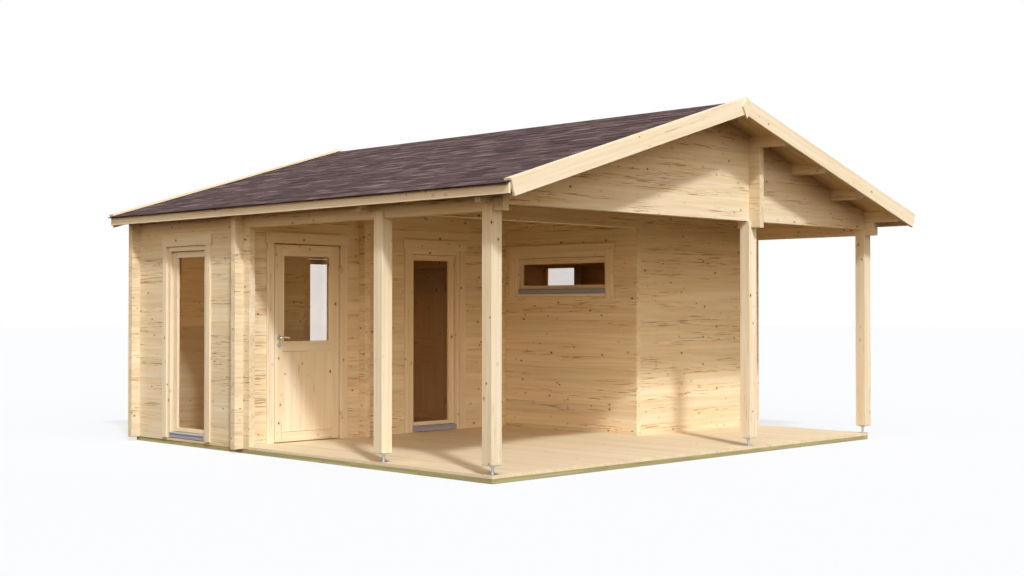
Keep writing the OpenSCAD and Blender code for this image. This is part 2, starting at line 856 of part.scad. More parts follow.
// side casings and header round a hole w wide, z0 to z1
module casing_profile(c, w, z0, z1, cw, hh) {
    o = w / 2 - casing_lap + cw;
    zt = z1 - casing_lap;
    difference() {
        union() {
            rect(c - o, c + o, z0, zt + 1);
            rect(c - o - header_over, c + o + header_over, zt, zt + hh);
        }
        rect(c - w / 2 + casing_lap, c + w / 2 - casing_lap, z0 - 1, zt);
    }
}

module casings() {
    t = casing_t;
    dw = open_x1 - open_x0 - 2 * (jamb_t - casing_lap);
    foot = z_floor + 1;
    color(trim) {
        run_x(-hw - t, -hw) casing_profile(y_side_win, tall_w, tall_z0, tall_z1, casing_w, header_h);
        run_x(hw, hw + t) casing_profile(y_side_win, tall_w, tall_z0, tall_z1, casing_w, header_h);
        run_y(y_door - t, y_door)
            casing_profile(-mid_win, tall_w, max(tall_z0, foot), tall_z1, casing_w, header_h);
        run_y(y_back, y_back + t) casing_profile(-mid_win, tall_w, tall_z0, tall_z1, casing_w, header_h);
        run_x(sauna_x - t, sauna_x)
            casing_profile(y_sauna_win, sauna_win_w, sauna_win_z0 - sauna_casing_low, sauna_win_z1,
                           casing_w, casing_w);
        run_y(y_door - t, y_door)
            casing_profile(-door_x, dw, foot, open_z1 - jamb_t + casing_lap,
                           casing_w + 10, header_h);
    }
}

// section of a sill: out is away from the wall, in is towards the frame
module sill_section(d, z, nose) {
    polygon([[-sill_out, z - nose], [-sill_out, z - 12], [d, z], [d, z - 8], [-6, z - 22], [-6, z - nose]]);
}

module sill(z) {
    sill_section(log_t - frame_t, z, sill_t);
}

module window_sills() {
    z = tall_glass_z0 - sill_drop;
    w = casing_in - 2 * frame_face;
    sw = sauna_win_w - 2 * casing_lap - 2 * frame_face;
    color(sill_c) {
        translate([-hw, y_side_win + w / 2, 0]) rotate([90, 0, 0]) linear_extrude(height = w) sill(z);
        translate([hw, y_side_win - w / 2, 0]) rotate([90, 0, 180]) linear_extrude(height = w) sill(z);
        translate([-mid_win - w / 2, y_door, 0]) rotate([90, 0, 90]) linear_extrude(height = w) sill(z);
        translate([-mid_win + w / 2, y_back, 0]) rotate([90, 0, 270]) linear_extrude(height = w) sill(z);
        translate([sauna_x, y_sauna_win + sw / 2, 0]) rotate([90, 0, 0])
            linear_extrude(height = sw) sill(sauna_glass_z0 - sill_drop + 3);
    }
}

// Hinges stand on the Z axis: the leaf is towards -X, the wall towards +Y.
// The lower half with the pin is fixed to the face at y = barrel_out.
module fixed_hinge(edge) {
    h = barrel_h / 2;
    cylinder(d = pin_d, h = h - 2);
    translate([0, 0, -h]) {
        cylinder(d = barrel_d, h = h - seam);
        translate([edge, 0, 0]) cube([3, barrel_out, h - seam]);
        translate([edge, barrel_out - 3, 0]) cube([hinge_leaf, 3, h - seam]);
    }
}

// The upper half turns with the leaf, whose face lies at y = face.
module leaf_hinge(face) {
    h = barrel_h / 2;
    difference() {
        union() {
            cylinder(d = barrel_d, h = h);
            translate([-barrel_d / 2, 0, 0]) cube([3, face + 1, h]);
        }
        translate([0, 0, -1]) cylinder(d = pin_d + 2 * pin_gap, h = h);
    }
}

module at_hinges(x, y, z0, z1) {
    for (z = [z0 + hinge_end, z1 - hinge_end]) translate([x, y, z]) children();
}

module door_hinges() {
    color(steel) {
        at_hinges(hinge_x, hinge_y, door_z0, door_z1) fixed_hinge(door_gap / 2 + 2);
        at_hinges(sauna_x - barrel_out, in_hinge_y, inner_z0, inner_z1) rotate([0, 0, -90])
            fixed_hinge(door_gap / 2 + 2);
    }
}

module door_frame() {
    y1 = y_door + log_t;
    color(trim) {
        block([open_x0, y_door, z_floor], [open_x0 + jamb_t, y1, open_z1]);
        block([open_x1 - jamb_t, y_door, z_floor], [open_x1, y1, open_z1]);
        block([open_x0 + jamb_t + seam, y_door, open_z1 - jamb_t], [open_x1 - jamb_t - seam, y1, open_z1]);
        block([open_x0, y_door, z_base], [open_x1, y1, z_floor - seam]);
        block([open_x0 + jamb_t + seam, leaf_y1 + 5, z_floor], [open_x1 - jamb_t - seam, y1, z_floor + 22]);
    }
}

module door_leaf() {
    ya = leaf_y0;
    yb = leaf_y1;
    color(trim) {
        // closing stile with the roses, and the bore for the lever
        difference() {
            union() {
                block([door_x0, ya, door_z0], [px0, yb, door_z1]);
                for (z = [lever_zz, lever_zz - lock_z]) for (y = [ya, yb + rose_t])
                    translate([lever_x, y, z]) rotate([90, 0, 0]) cylinder(d = rose_d, h = rose_t);
            }
            translate([lever_x, yb + rose_t + 1, lever_zz]) rotate([90, 0, 0])
                cylinder(d = lever_d + 2 * lever_gap, h = door_t + 2 * rose_t + 2);
        }
        block([px1, ya, door_z0], [door_x1, yb, door_z1]);
        at_hinges(hinge_x, hinge_y, door_z0, door_z1) leaf_hinge(ya - hinge_y);
        for (z = [[door_z0, pz0], [pz1, gz0], [gz1, door_z1]])
            block([px0 + seam, ya, z[0]], [px1 - seam, yb, z[1]]);
        for (x = [[px0 + seam, gx0], [gx1, px1 - seam]])
            block([x[0], ya, gz0 + seam], [x[1], yb, gz1 - seam]);
        block([px0 + seam, ya + panel_back, pz0 + seam],
              [px1 - seam, ya + panel_back + panel_t, pz1 - seam]);
    }
}

module door_glass() {
    color(pane) run_y(leaf_y0 + panel_back, leaf_y0 + panel_back + glass_t)
        rect(gx0, gx1, gz0, gz1);
}

module door_lever() {
    y0 = leaf_y0 - lever_out;
    y1 = leaf_y1 + lever_out;
    r = lever_d / 2;
    color(steel) {
        translate([lever_x, y1, lever_zz]) rotate([90, 0, 0]) cylinder(d = lever_d, h = y1 - y0);
        for (y = [y0 + r, y1 - r]) translate([lever_x - r, y, lever_zz]) rotate([0, 90, 0])
            cylinder(d = lever_d - 2, h = lever_l);
    }
}

module inner_door_frame() {
    x1 = sauna_x + log_t;
    color(trim) {
        block([sauna_x, in_open_y0, z_floor], [x1, in_open_y0 + inner_jamb, in_open_z1]);
        block([sauna_x, in_open_y1 - inner_jamb, z_floor], [x1, in_open_y1, in_open_z1]);
        block([sauna_x, in_open_y0 + inner_jamb + seam, in_open_z1 - inner_jamb],
              [x1, in_open_y1 - inner_jamb - seam, in_open_z1]);
        block([sauna_x, in_open_y0, z_base], [x1, in_open_y1, z_floor - seam]);
    }
}

module inner_door_leaf() {
    xa = inner_face;
    xb = inner_face + inner_t;
    ya = inner_y0 + inner_stile;
    yb = inner_y1 - inner_stile;
    zs = [[inner_z0 + inner_low_rail, inner_z0 + inner_panel_z1],
          [inner_z0 + inner_panel_z0, inner_z1 - inner_top_rail]];
    color(trim) {
        block([xa, inner_y0, inner_z0], [xb, ya, inner_z1]);
        at_hinges(sauna_x - barrel_out, in_hinge_y, inner_z0, inner_z1) rotate([0, 0, -90])
            leaf_hinge(barrel_out + leaf_back);
        block([xa, yb, inner_z0], [xb, inner_y1, inner_z1]);
        for (z = [[inner_z0, zs[0][0]], [zs[0][1], zs[1][0]], [zs[1][1], inner_z1]])
            block([xa, ya + seam, z[0]], [xb, yb - seam, z[1]]);
        for (z = zs) block([xa + inner_panel_d, ya + seam, z[0] + seam],
                           [xb - inner_panel_d, yb - seam, z[1] - seam]);
    }
}

edge_beam_left();
edge_beam_right();
floor_joists();
terrace_deck();
room_floors();
left_wall();
right_wall();
back_wall();
back_gable();
door_wall();
door_wall_gable();
window_wall();
entry_partition();
sauna_side_wall();
wash_wall();
sauna_partition();
sauna_front_wall();
inner_gable();
front_gable();
gable_cross_log();
left_eave_beam();
right_eave_beam();
roof_purlins();
posts();
post_feet();
roof_boards_left();
roof_boards_right();
shingles_left();
shingles_right();
ridge_cap();
front_barge_boards();
back_barge_boards();
eave_fascias();
gable_diamonds();
window_frames();
sauna_window_frame();
window_glass();
casings();
window_sills();
door_frame();
door_leaf();
door_glass();
door_lever();
door_hinges();
inner_door_frame();
inner_door_leaf();
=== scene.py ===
import json
import math
import random

import bmesh
import bpy
import numpy as np
from mathutils import Matrix, Vector


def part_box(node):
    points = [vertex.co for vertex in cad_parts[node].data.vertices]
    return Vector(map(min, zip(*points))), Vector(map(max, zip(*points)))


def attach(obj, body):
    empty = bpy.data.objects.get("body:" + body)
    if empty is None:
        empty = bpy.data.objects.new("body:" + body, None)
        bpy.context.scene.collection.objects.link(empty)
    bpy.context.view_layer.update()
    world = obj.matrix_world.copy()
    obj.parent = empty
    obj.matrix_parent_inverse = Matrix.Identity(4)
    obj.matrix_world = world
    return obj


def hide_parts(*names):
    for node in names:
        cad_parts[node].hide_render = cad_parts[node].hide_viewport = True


# log sauna cabin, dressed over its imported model: metres, Z up, front gable towards -Y
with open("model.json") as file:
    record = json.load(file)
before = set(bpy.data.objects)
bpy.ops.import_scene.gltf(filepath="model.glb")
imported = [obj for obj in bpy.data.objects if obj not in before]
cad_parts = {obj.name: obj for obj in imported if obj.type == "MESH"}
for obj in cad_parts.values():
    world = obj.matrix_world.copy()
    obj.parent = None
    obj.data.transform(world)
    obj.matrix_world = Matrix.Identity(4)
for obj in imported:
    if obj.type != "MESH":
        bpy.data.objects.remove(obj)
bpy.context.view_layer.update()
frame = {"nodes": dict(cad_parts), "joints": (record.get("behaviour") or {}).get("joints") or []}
dice = random.Random(11)
scene = bpy.context.scene

up = Vector((0, 0, 1))
alongX = Vector((1, 0, 0))
alongY = Vector((0, 1, 0))
print("frame loaded,", len(frame["nodes"]), "nodes")


# camera, light and floor
cameraSettings = {
    "place": (-11.087, -11.137, 1.444),
    "heading": 44.87,  # degrees from +Y towards +X
    "tilt": 0.83,  # degrees upwards
    "lens": 50.26,
}

lightSettings = {
    "sunTravel": (0.475, 0.89, -0.93),
    "sunStrength": 2.80,
    "sunSoftness": 5.0,  # degrees
    "glowTravel": (0.56, 0.85, -0.93),
    "glowStrength": 1.82,
    "glowSoftness": 70.0,
    "keyTint": (0.82, 0.90, 1.02),
    "sky": (0.10, 0.11, 0.13), "horizon": (1.72, 1.32, 0.88),
    "horizonTop": 0.6,  # height at which the horizon's light has gone
}

floorSettings = {
    "tone": 0.80,  # grey that the camera sees
    "bounce": 0.0,  # grey that lights the cabin from below
    "glow": 0.72,  # share of white in what is seen
}


def pick(settings, names):
    return (settings[name] for name in names.split())


def srgb(red, green, blue):
    def linear(value):
        value = value / 255
        return value / 12.92 if value <= 0.04045 else ((value + 0.055) / 1.055) ** 2.4
    return (linear(red), linear(green), linear(blue), 1.0)


def addNode(tree, kind, settings=None, **inputs):
    # gives the new node's outputs; in0, in1 ... are inputs by number, other names are the input's own
    node = tree.nodes.new("ShaderNode" + kind)
    for key, value in (settings or {}).items():
        setattr(node, key, value)
    for key, value in inputs.items():
        socket = node.inputs[int(key[2:])] if key.startswith("in") else node.inputs[key.replace("_", " ")]
        if isinstance(value, bpy.types.NodeSocket):
            tree.links.new(value, socket)
        else:
            socket.default_value = value
    return node.outputs


def calc(tree, operation, first, second=0.0, third=0.0):
    return addNode(tree, "Math", {"operation": operation}, in0=first, in1=second, in2=third)[0]


def times(tree, first, second):
    return calc(tree, "MULTIPLY", first, second)


def scaled(tree, value, factor, offset=0.0):
    return calc(tree, "MULTIPLY_ADD", value, factor, offset)


def inverse(tree, value):
    return calc(tree, "SUBTRACT", 1.0, value)


def ramp(tree, value, low, high):
    # 0 below low, 1 above high, smooth between
    return addNode(tree, "MapRange", {"interpolation_type": "SMOOTHSTEP"},
                   Value=value, From_Min=low, From_Max=high)[0]


def blendColour(tree, amount, first, second, mode="MIX"):
    return addNode(tree, "Mix", {"data_type": "RGBA", "blend_type": mode},
                   Factor=amount, in6=first, in7=second)[2]


def stretch(tree, vector, scale):
    return addNode(tree, "VectorMath", {"operation": "MULTIPLY"}, in0=vector, in1=scale)[0]


def noise(tree, vector, scale, detail=2.0, rough=0.5):
    return addNode(tree, "TexNoise", Vector=stretch(tree, vector, scale),
                   Scale=1.0, Detail=detail, Roughness=rough)["Fac"]


def directRays(tree):
    # 1 for what the camera sees, straight on or by way of glass and metal
    rays = addNode(tree, "LightPath")
    glassy = calc(tree, "MAXIMUM", rays["Is Glossy Ray"], rays["Is Transmission Ray"])
    return calc(tree, "MAXIMUM", rays["Is Camera Ray"], glassy)


def newTree(name):
    mat = bpy.data.materials.new(name)
    mat.use_nodes = True
    mat.node_tree.nodes.clear()
    return mat, mat.node_tree


def close(tree, shader):
    addNode(tree, "OutputMaterial", Surface=shader)


def buildCamera():
    data = bpy.data.cameras.new("camera")
    data.lens = cameraSettings["lens"]
    data.sensor_width = 36
    data.clip_end = 200
    camera = bpy.data.objects.new("camera", data)
    scene.collection.objects.link(camera)
    camera.location = cameraSettings["place"]
    camera.rotation_euler = (math.radians(90 + cameraSettings["tilt"]), 0,
                             -math.radians(cameraSettings["heading"]))
    scene.camera = camera


def buildLight():
    # a small key light with a wide one round it
    for name in ("sun", "glow"):
        lamp = bpy.data.objects.new(name, bpy.data.lights.new(name, "SUN"))
        lamp.data.energy = lightSettings[name + "Strength"]
        lamp.data.angle = math.radians(lightSettings[name + "Softness"])
        lamp.data.color = lightSettings["keyTint"]
        lamp.rotation_euler = Vector(lightSettings[name + "Travel"]).to_track_quat("-Z", "Y").to_euler()
        scene.collection.objects.link(lamp)

    # white where it is seen, a lit horizon under a dim sky for the light it gives
    world = bpy.data.worlds.new("studio")
    world.use_nodes = True
    tree = world.node_tree
    tree.nodes.clear()
    way = addNode(tree, "TexCoord")["Generated"]
    height = addNode(tree, "SeparateXYZ", Vector=way)["Z"]
    above = addNode(tree, "MapRange", Value=height, From_Min=0.0, From_Max=lightSettings["horizonTop"])
    sky = blendColour(tree, above[0], lightSettings["horizon"] + (1,), lightSettings["sky"] + (1,))
    seen = blendColour(tree, directRays(tree), sky, (1, 1, 1, 1))
    shade = addNode(tree, "Background", Color=seen, Strength=1.0)
    addNode(tree, "OutputWorld", Surface=shade[0])
    scene.world = world
    scene.view_settings.view_transform = "Standard"


def buildFloor():
    mat, tree = newTree("studioFloor")
    cameraRay = addNode(tree, "LightPath")["Is Camera Ray"]
    tone = scaled(tree, cameraRay, floorSettings["tone"] - floorSettings["bounce"], floorSettings["bounce"])
    grey = addNode(tree, "CombineColor", Red=tone, Green=tone, Blue=tone)
    matt = addNode(tree, "BsdfDiffuse", Color=grey[0])
    glow = addNode(tree, "Emission", Color=(1, 1, 1, 1), Strength=1.0)
    share = times(tree, directRays(tree), floorSettings["glow"])
    mixed = addNode(tree, "MixShader", Fac=share, in1=matt[0], in2=glow[0])
    close(tree, mixed[0])
    mesh = bpy.data.meshes.new("floor")
    size = 90
    mesh.from_pydata([(-size, -size, 0), (size, -size, 0), (size, size, 0), (-size, size, 0)],
                     [], [(0, 1, 2, 3)])
    mesh.materials.append(mat)
    floor = bpy.data.objects.new("floor", mesh)
    scene.collection.objects.link(floor)
    floor.location.z = -0.001


buildCamera()
buildLight()
buildFloor()
print("camera, light and floor ready")


# materials; grainCo is a point in a board's own wood: metres along the grain, then across from the heart
woodLooks = {
    "log": {
        "pale": srgb(237, 218, 184), "warm": srgb(230, 205, 162), "late": srgb(213, 176, 122),
        "streak": srgb(166, 116, 54), "knot": srgb(40, 20, 8), "streakShare": 0.545,
        "knotShare": 0.34, "lateAmount": 0.26, "toneSwing": 0.13, "rough": 0.68,
    },
    "trim": {
        "pale": srgb(240, 222, 190), "warm": srgb(234, 211, 172), "late": srgb(215, 181, 132),
        "streak": srgb(168, 116, 58), "knot": srgb(58, 32, 16), "streakShare": 0.62,
        "knotShare": 0.55, "lateAmount": 0.24, "toneSwing": 0.08, "rough": 0.60,
    },
    "deck": {
        "pale": srgb(235, 213, 177), "warm": srgb(228, 203, 160), "late": srgb(214, 180, 130),
        "streak": srgb(184, 140, 88), "knot": srgb(120, 78, 44), "streakShare": 0.66,
        "knotShare": 0.88, "lateAmount": 0.18, "toneSwing": 0.07, "rough": 0.62,
    },
    # painted shade: a warmer, more orange copy of the log wood for the roof boards, standing in for the warm
    # shade under the roof
    "roof": {
        "pale": srgb(238, 203, 150), "warm": srgb(230, 191, 132), "late": srgb(210, 162, 102),
        "streak": srgb(156, 96, 38), "knot": srgb(40, 20, 8), "streakShare": 0.585,
        "knotShare": 0.34, "lateAmount": 0.26, "toneSwing": 0.10, "rough": 0.68,
    },
    "treated": {
        "pale": srgb(190, 180, 130), "warm": srgb(168, 155, 104), "late": srgb(140, 124, 74),
        "streak": srgb(104, 92, 44), "knot": srgb(58, 46, 22), "streakShare": 0.60,
        "knotShare": 0.60, "lateAmount": 0.35, "toneSwing": 0.16, "rough": 0.80,
    },
}

# what all five woods share; a triple is a pattern's density along the grain and across it
grainSettings = {
    "knots": (7.6, 11.0, 11.0),
    "knotSize": 0.052,  # of the smallest, in cells of the knot pattern
    "knotGrowth": 0.044,  # to the largest
    "knotRim": (0.92, 1.05), "haloRim": (0.9, 3.2),
    "wander": (1.1, 5.0, 5.0),
    "wanderSide": 0.030,  # metres that the heart strays
    "wanderDeep": -0.022,
    "ringPush": 0.006,  # metres that a knot pushes the rings
    "ringsPerMetre": 150.0,
    "bands": (0.8, 26.0, 26.0), "fibres": (14.0, 460.0, 460.0),
    "patches": (0.8, 8.0, 8.0), "flecks": (3.2, 100.0, 100.0), "fleckEdge": 0.07,
    "streakAmount": 0.78, "haloAmount": 0.34, "knotAmount": 0.97,
    "lightness": 0.95,  # of the middle tone
    "fibreLight": 0.10,
    "warmth": (1.12, 1.35),  # how much faster green and blue darken than red
    "fibreRough": 0.18,
    "shine": 0.28,
}


def boardInputs(tree):
    place = addNode(tree, "Attribute", {"attribute_name": "grainCo"})["Vector"]
    return place, addNode(tree, "Attribute", {"attribute_name": "tone"})["Fac"]


def coverWith(tree, relief, strength, depth, **inputs):
    # a principled surface with a bump, as the material's output
    bump = addNode(tree, "Bump", Strength=strength, Distance=depth, Height=relief)
    shader = addNode(tree, "BsdfPrincipled", Normal=bump[0], **inputs)
    close(tree, shader[0])


def makeWood(name):
    look = woodLooks[name]
    grain = grainSettings
    mat, tree = newTree(name + "Spruce")
    place, tone = boardInputs(tree)

    # knots push the year rings aside
    cells = stretch(tree, place, grain["knots"])
    knots = addNode(tree, "TexVoronoi", Vector=cells, Scale=1.0)
    chances = addNode(tree, "SeparateColor", Color=knots["Color"])
    chosen = calc(tree, "GREATER_THAN", chances["Red"], look["knotShare"])
    size = scaled(tree, chances["Green"], grain["knotGrowth"], grain["knotSize"])
    away = calc(tree, "DIVIDE", knots["Distance"], size)
    knot, halo = (times(tree, chosen, inverse(tree, ramp(tree, away, *grain[rim])))
                  for rim in ("knotRim", "haloRim"))

    # year rings, each darker towards its late wood
    wander = noise(tree, place, grain["wander"], 1.0)
    parts = addNode(tree, "SeparateXYZ", Vector=place)
    side = scaled(tree, wander, grain["wanderSide"], parts["Y"])
    depth = scaled(tree, wander, grain["wanderDeep"], parts["Z"])
    heart = calc(tree, "SQRT", scaled(tree, side, side, times(tree, depth, depth)))
    heart = scaled(tree, halo, grain["ringPush"], heart)
    ring = calc(tree, "FRACT", times(tree, heart, grain["ringsPerMetre"]))
    late = times(tree, ramp(tree, ring, 0.35, 0.92), ramp(tree, inverse(tree, ring), 0.0, 0.07))

    # soft bands, fine fibres and short dark flecks in patches
    band = ramp(tree, noise(tree, place, grain["bands"], 2.0), 0.34, 0.66)
    fibre = noise(tree, place, grain["fibres"], 1.5)
    patch = ramp(tree, noise(tree, place, grain["patches"], 1.0), 0.50, 0.62)
    flecks = noise(tree, place, grain["flecks"], 3.0, 0.62)
    dark = ramp(tree, flecks, look["streakShare"], look["streakShare"] + grain["fleckEdge"])
    streak = times(tree, patch, dark)

    colour = blendColour(tree, band, look["pale"], look["warm"])
    for share, amount, tint in (
            (late, look["lateAmount"], "late"), (streak, grain["streakAmount"], "streak"),
            (halo, grain["haloAmount"], "streak"), (knot, grain["knotAmount"], "knot")):
        colour = blendColour(tree, times(tree, share, amount), colour, look[tint])
    swing = look["toneSwing"]
    base = scaled(tree, tone, swing, grain["lightness"] - swing / 2)
    light = scaled(tree, fibre, grain["fibreLight"], base)
    green, blue = (calc(tree, "POWER", light, power) for power in grain["warmth"])
    shade = addNode(tree, "CombineColor", Red=light, Green=green, Blue=blue)
    colour = blendColour(tree, 1.0, colour, shade[0], "MULTIPLY")

    rough = scaled(tree, fibre, grain["fibreRough"], look["rough"] - grain["fibreRough"] / 2)
    relief = scaled(tree, late, 0.5, calc(tree, "ADD", fibre, knot))
    coverWith(tree, relief, 0.35, 0.0006, Base_Color=colour, Roughness=rough,
              Specular_IOR_Level=grain["shine"])
    return mat


shingleLook = {
    "dark": srgb(63, 46, 44), "mid": srgb(88, 68, 64), "light": srgb(141, 117, 111),
    "granules": 900.0,  # per metre
    "clouds": 60.0,
    "worn": (1.5, 7.5, 7.5), "wornAmount": 0.75, "rough": 0.92, "shine": 0.15,
    "dashes": (2.4, 24.0, 6.0),  # long along a row, short down the slope
    "dashDepth": 0.62,
}


def makeShingle():
    look = shingleLook
    mat, tree = newTree("bitumenShingle")
    place, tone = boardInputs(tree)
    worn = ramp(tree, noise(tree, place, look["worn"], 3.0, 0.6), 0.46, 0.74)
    grit = noise(tree, place, (look["granules"],) * 3, 1.0)
    cloud = noise(tree, place, (look["clouds"],) * 3, 2.0)
    dashes = ramp(tree, noise(tree, place, look["dashes"], 3.0, 0.65), 0.38, 0.64)
    colour = blendColour(tree, tone, look["dark"], look["mid"])
    colour = blendColour(tree, times(tree, worn, look["wornAmount"]), colour, look["light"])
    light = scaled(tree, grit, 0.9, scaled(tree, cloud, 0.5, 0.32))
    light = times(tree, light, scaled(tree, dashes, look["dashDepth"], 0.68))
    grey = addNode(tree, "CombineColor", Red=light, Green=light, Blue=light)
    colour = blendColour(tree, 1.0, colour, grey[0], "MULTIPLY")
    coverWith(tree, grit, 0.6, 0.0012, Base_Color=colour, Roughness=look["rough"],
              Specular_IOR_Level=look["shine"])
    return mat


metalLooks = {
    "zincPlated": {"colour": (0.62, 0.63, 0.66, 1), "rough": 0.36, "blotches": 260.0},
    "satinSteel": {"colour": (0.56, 0.53, 0.50, 1), "rough": 0.34, "blotches": 30.0},
    "brightSteel": {"colour": (0.90, 0.84, 0.80, 1), "rough": 0.30, "blotches": 30.0},
    "agedBrass": {"colour": (0.86, 0.62, 0.36, 1), "rough": 0.62, "blotches": 90.0},
}
metalSettings = {
    "blotch": (0.38, 0.40, 0.44, 1),
    "blotchAmount": 0.35,
    "brush": (900.0, 60.0, 900.0),
}


def makeMetal(name):
    look = metalLooks[name]
    mat, tree = newTree(name)
    place = addNode(tree, "TexCoord")["Object"]
    cells = addNode(tree, "TexVoronoi", Vector=place, Scale=look["blotches"])
    grey = addNode(tree, "SeparateColor", Color=cells["Color"])["Red"]
    brushed = noise(tree, place, metalSettings["brush"], 1.0)
    share = times(tree, grey, metalSettings["blotchAmount"])
    tint = blendColour(tree, share, look["colour"], metalSettings["blotch"])
    wear = scaled(tree, brushed, 0.16, scaled(tree, grey, 0.08, look["rough"] - 0.1))
    coverWith(tree, brushed, 0.2, 0.0002, Base_Color=tint, Roughness=wear, Metallic=1.0)
    return mat


sillLook = {
    "paint": srgb(156, 156, 171), "dust": srgb(180, 179, 186), "dustAmount": 0.5, "rough": 0.38,
}


def makeSillMetal():
    look = sillLook
    mat, tree = newTree("coatedSill")
    place = addNode(tree, "TexCoord")["Object"]
    peel = noise(tree, place, (420.0, 420.0, 420.0), 2.0)
    dust = ramp(tree, noise(tree, place, (9.0, 9.0, 30.0), 3.0), 0.35, 0.75)
    colour = blendColour(tree, times(tree, dust, look["dustAmount"]), look["paint"], look["dust"])
    coverWith(tree, peel, 0.15, 0.0002, Base_Color=colour,
              Roughness=scaled(tree, dust, 0.2, look["rough"]))
    return mat


glassLook = {
    "paintedRoomGlowTint": (1.0, 0.48, 0.15, 1),  # painted reflection: an orange mirror that stands in for the warm-lit room behind the glass
    # the reflection is raised past its plain strength, which also paints in the room's glow
    "mirrorAmount": 2.25,
    "clear": (0.95, 0.94, 0.93, 1), "film": (0.98, 0.97, 0.96, 1), "bend": 1.52,
}


def makeGlass():
    look = glassLook
    mat, tree = newTree("windowPane")
    place = addNode(tree, "TexCoord")["Object"]
    film = ramp(tree, noise(tree, place, (2.0, 2.0, 2.0), 2.0), 0.3, 0.8)
    waves = noise(tree, place, (3.0, 3.0, 2.0), 1.0)
    bump = addNode(tree, "Bump", Strength=0.04, Distance=0.002, Height=waves)[0]
    edge = addNode(tree, "Fresnel", IOR=look["bend"], Normal=bump)[0]
    outside = inverse(tree, addNode(tree, "NewGeometry")["Backfacing"])
    # painted reflection: the glossy part is tinted orange to stand in for the lit room seen through the glass
    mirror = addNode(tree, "BsdfGlossy", Normal=bump, Roughness=0.02, Color=look["paintedRoomGlowTint"])
    clear = addNode(tree, "BsdfTransparent", Color=blendColour(tree, film, look["clear"], look["film"]))
    amount = times(tree, times(tree, edge, look["mirrorAmount"]), outside)
    mixed = addNode(tree, "MixShader", Fac=amount, in1=clear[0], in2=mirror[0])
    close(tree, mixed[0])
    return mat


logWood, trimWood, deckWood, treatedWood, shadeWarmedRoofWood = (
    makeWood(name) for name in ("log", "trim", "deck", "treated", "roof"))
shingle = makeShingle()
zincSteel, satinSteel, brightSteel, agedBrass = (makeMetal(name) for name in metalLooks)
coatedSill = makeSillMetal()
pane = makeGlass()
print("materials ready")


# tools for the meshes
meshSettings = {
    "weld": 2e-5,  # corners nearer than this are one
    "flat": 0.6,  # degrees between two parts of one face
    "sharp": 25.0,  # degrees at an edge that is planed off
    "along": 0.99,  # least cosine between the grain and an edge along it
    "same": 2e-4,  # metres within which two levels are one
    "sliver": 0.001,  # least board that a cut may leave
}


def openCad(node):
    # a clean copy of a CAD node's mesh, its flat faces whole again
    bm = bmesh.new()
    bm.from_mesh(frame["nodes"][node].data)
    bmesh.ops.remove_doubles(bm, verts=bm.verts, dist=meshSettings["weld"])
    flatten(bm)
    return bm


def flatten(bm):
    bmesh.ops.dissolve_limit(bm, angle_limit=math.radians(meshSettings["flat"]),
                             verts=bm.verts[:], edges=bm.edges[:])


def outwards(bm):
    bm.normal_update()
    bmesh.ops.recalc_face_normals(bm, faces=bm.faces[:])


def islands(bm):
    left = set(bm.verts)
    found = []
    for start in bm.verts[:]:
        if start not in left:
            continue
        left.discard(start)
        group, todo = [], [start]
        while todo:
            vert = todo.pop()
            group.append(vert)
            for edge in vert.link_edges:
                other = edge.other_vert(vert)
                if other in left:
                    left.discard(other)
                    todo.append(other)
        found.append(group)
    return found


def corners(verts):
    points = np.array([tuple(v.co) for v in verts])
    return Vector(points.min(0)), Vector(points.max(0))


def levels(verts, axis):
    # the places at which an island has corners along one axis
    values = []
    for value in sorted(v.co[axis] for v in verts):
        if not values or value - values[-1] > meshSettings["same"]:
            values.append(value)
    return values


def sliceUp(bm, normal, stations):
    # saws every island at the stations along normal, and closes the cuts
    sliver = meshSettings["sliver"]
    for station in stations:
        for group in islands(bm):
            reach = [v.co.dot(normal) for v in group]
            if min(reach) > station - sliver or max(reach) < station + sliver:
                continue
            edges = {e for v in group for e in v.link_edges}
            faces = {f for v in group for f in v.link_faces}
            cut = bmesh.ops.bisect_plane(bm, geom=list(group) + list(edges) + list(faces),
                                         plane_co=normal * station, plane_no=normal, dist=1e-6)
            seams = [g for g in cut["geom_cut"] if isinstance(g, bmesh.types.BMEdge)]
            bmesh.ops.split_edges(bm, edges=seams)
    rims = [e for e in bm.edges if e.is_boundary]
    if rims:
        bmesh.ops.holes_fill(bm, edges=rims, sides=0)
    flatten(bm)
    outwards(bm)


def longWay(points):
    centred = points - points.mean(0)
    values, vectors = np.linalg.eigh(centred.T @ centred)
    way = Vector(vectors[:, int(np.argmax(values))])
    return -way if max(way, key=abs) < 0 else way


def easeEdges(bm, width, grain=None):
    # planes off the sharp edges, all of them or only those along the grain
    chosen = []
    for edge in bm.edges:
        if len(edge.link_faces) != 2 or edge.calc_face_angle(0) < math.radians(meshSettings["sharp"]):
            continue
        way = (edge.verts[0].co - edge.verts[1].co).normalized()
        if grain is None or abs(way.dot(grain)) > meshSettings["along"]:
            chosen.append(edge)
    bmesh.ops.bevel(bm, geom=chosen, offset=width, segments=1, profile=0.6,
                    affect="EDGES", clamp_overlap=True)


def grainLayers(bm):
    verts = bm.verts.layers
    return (verts.float_vector.get("grainCo") or verts.float_vector.new("grainCo"),
            verts.float.get("tone") or verts.float.new("tone"))


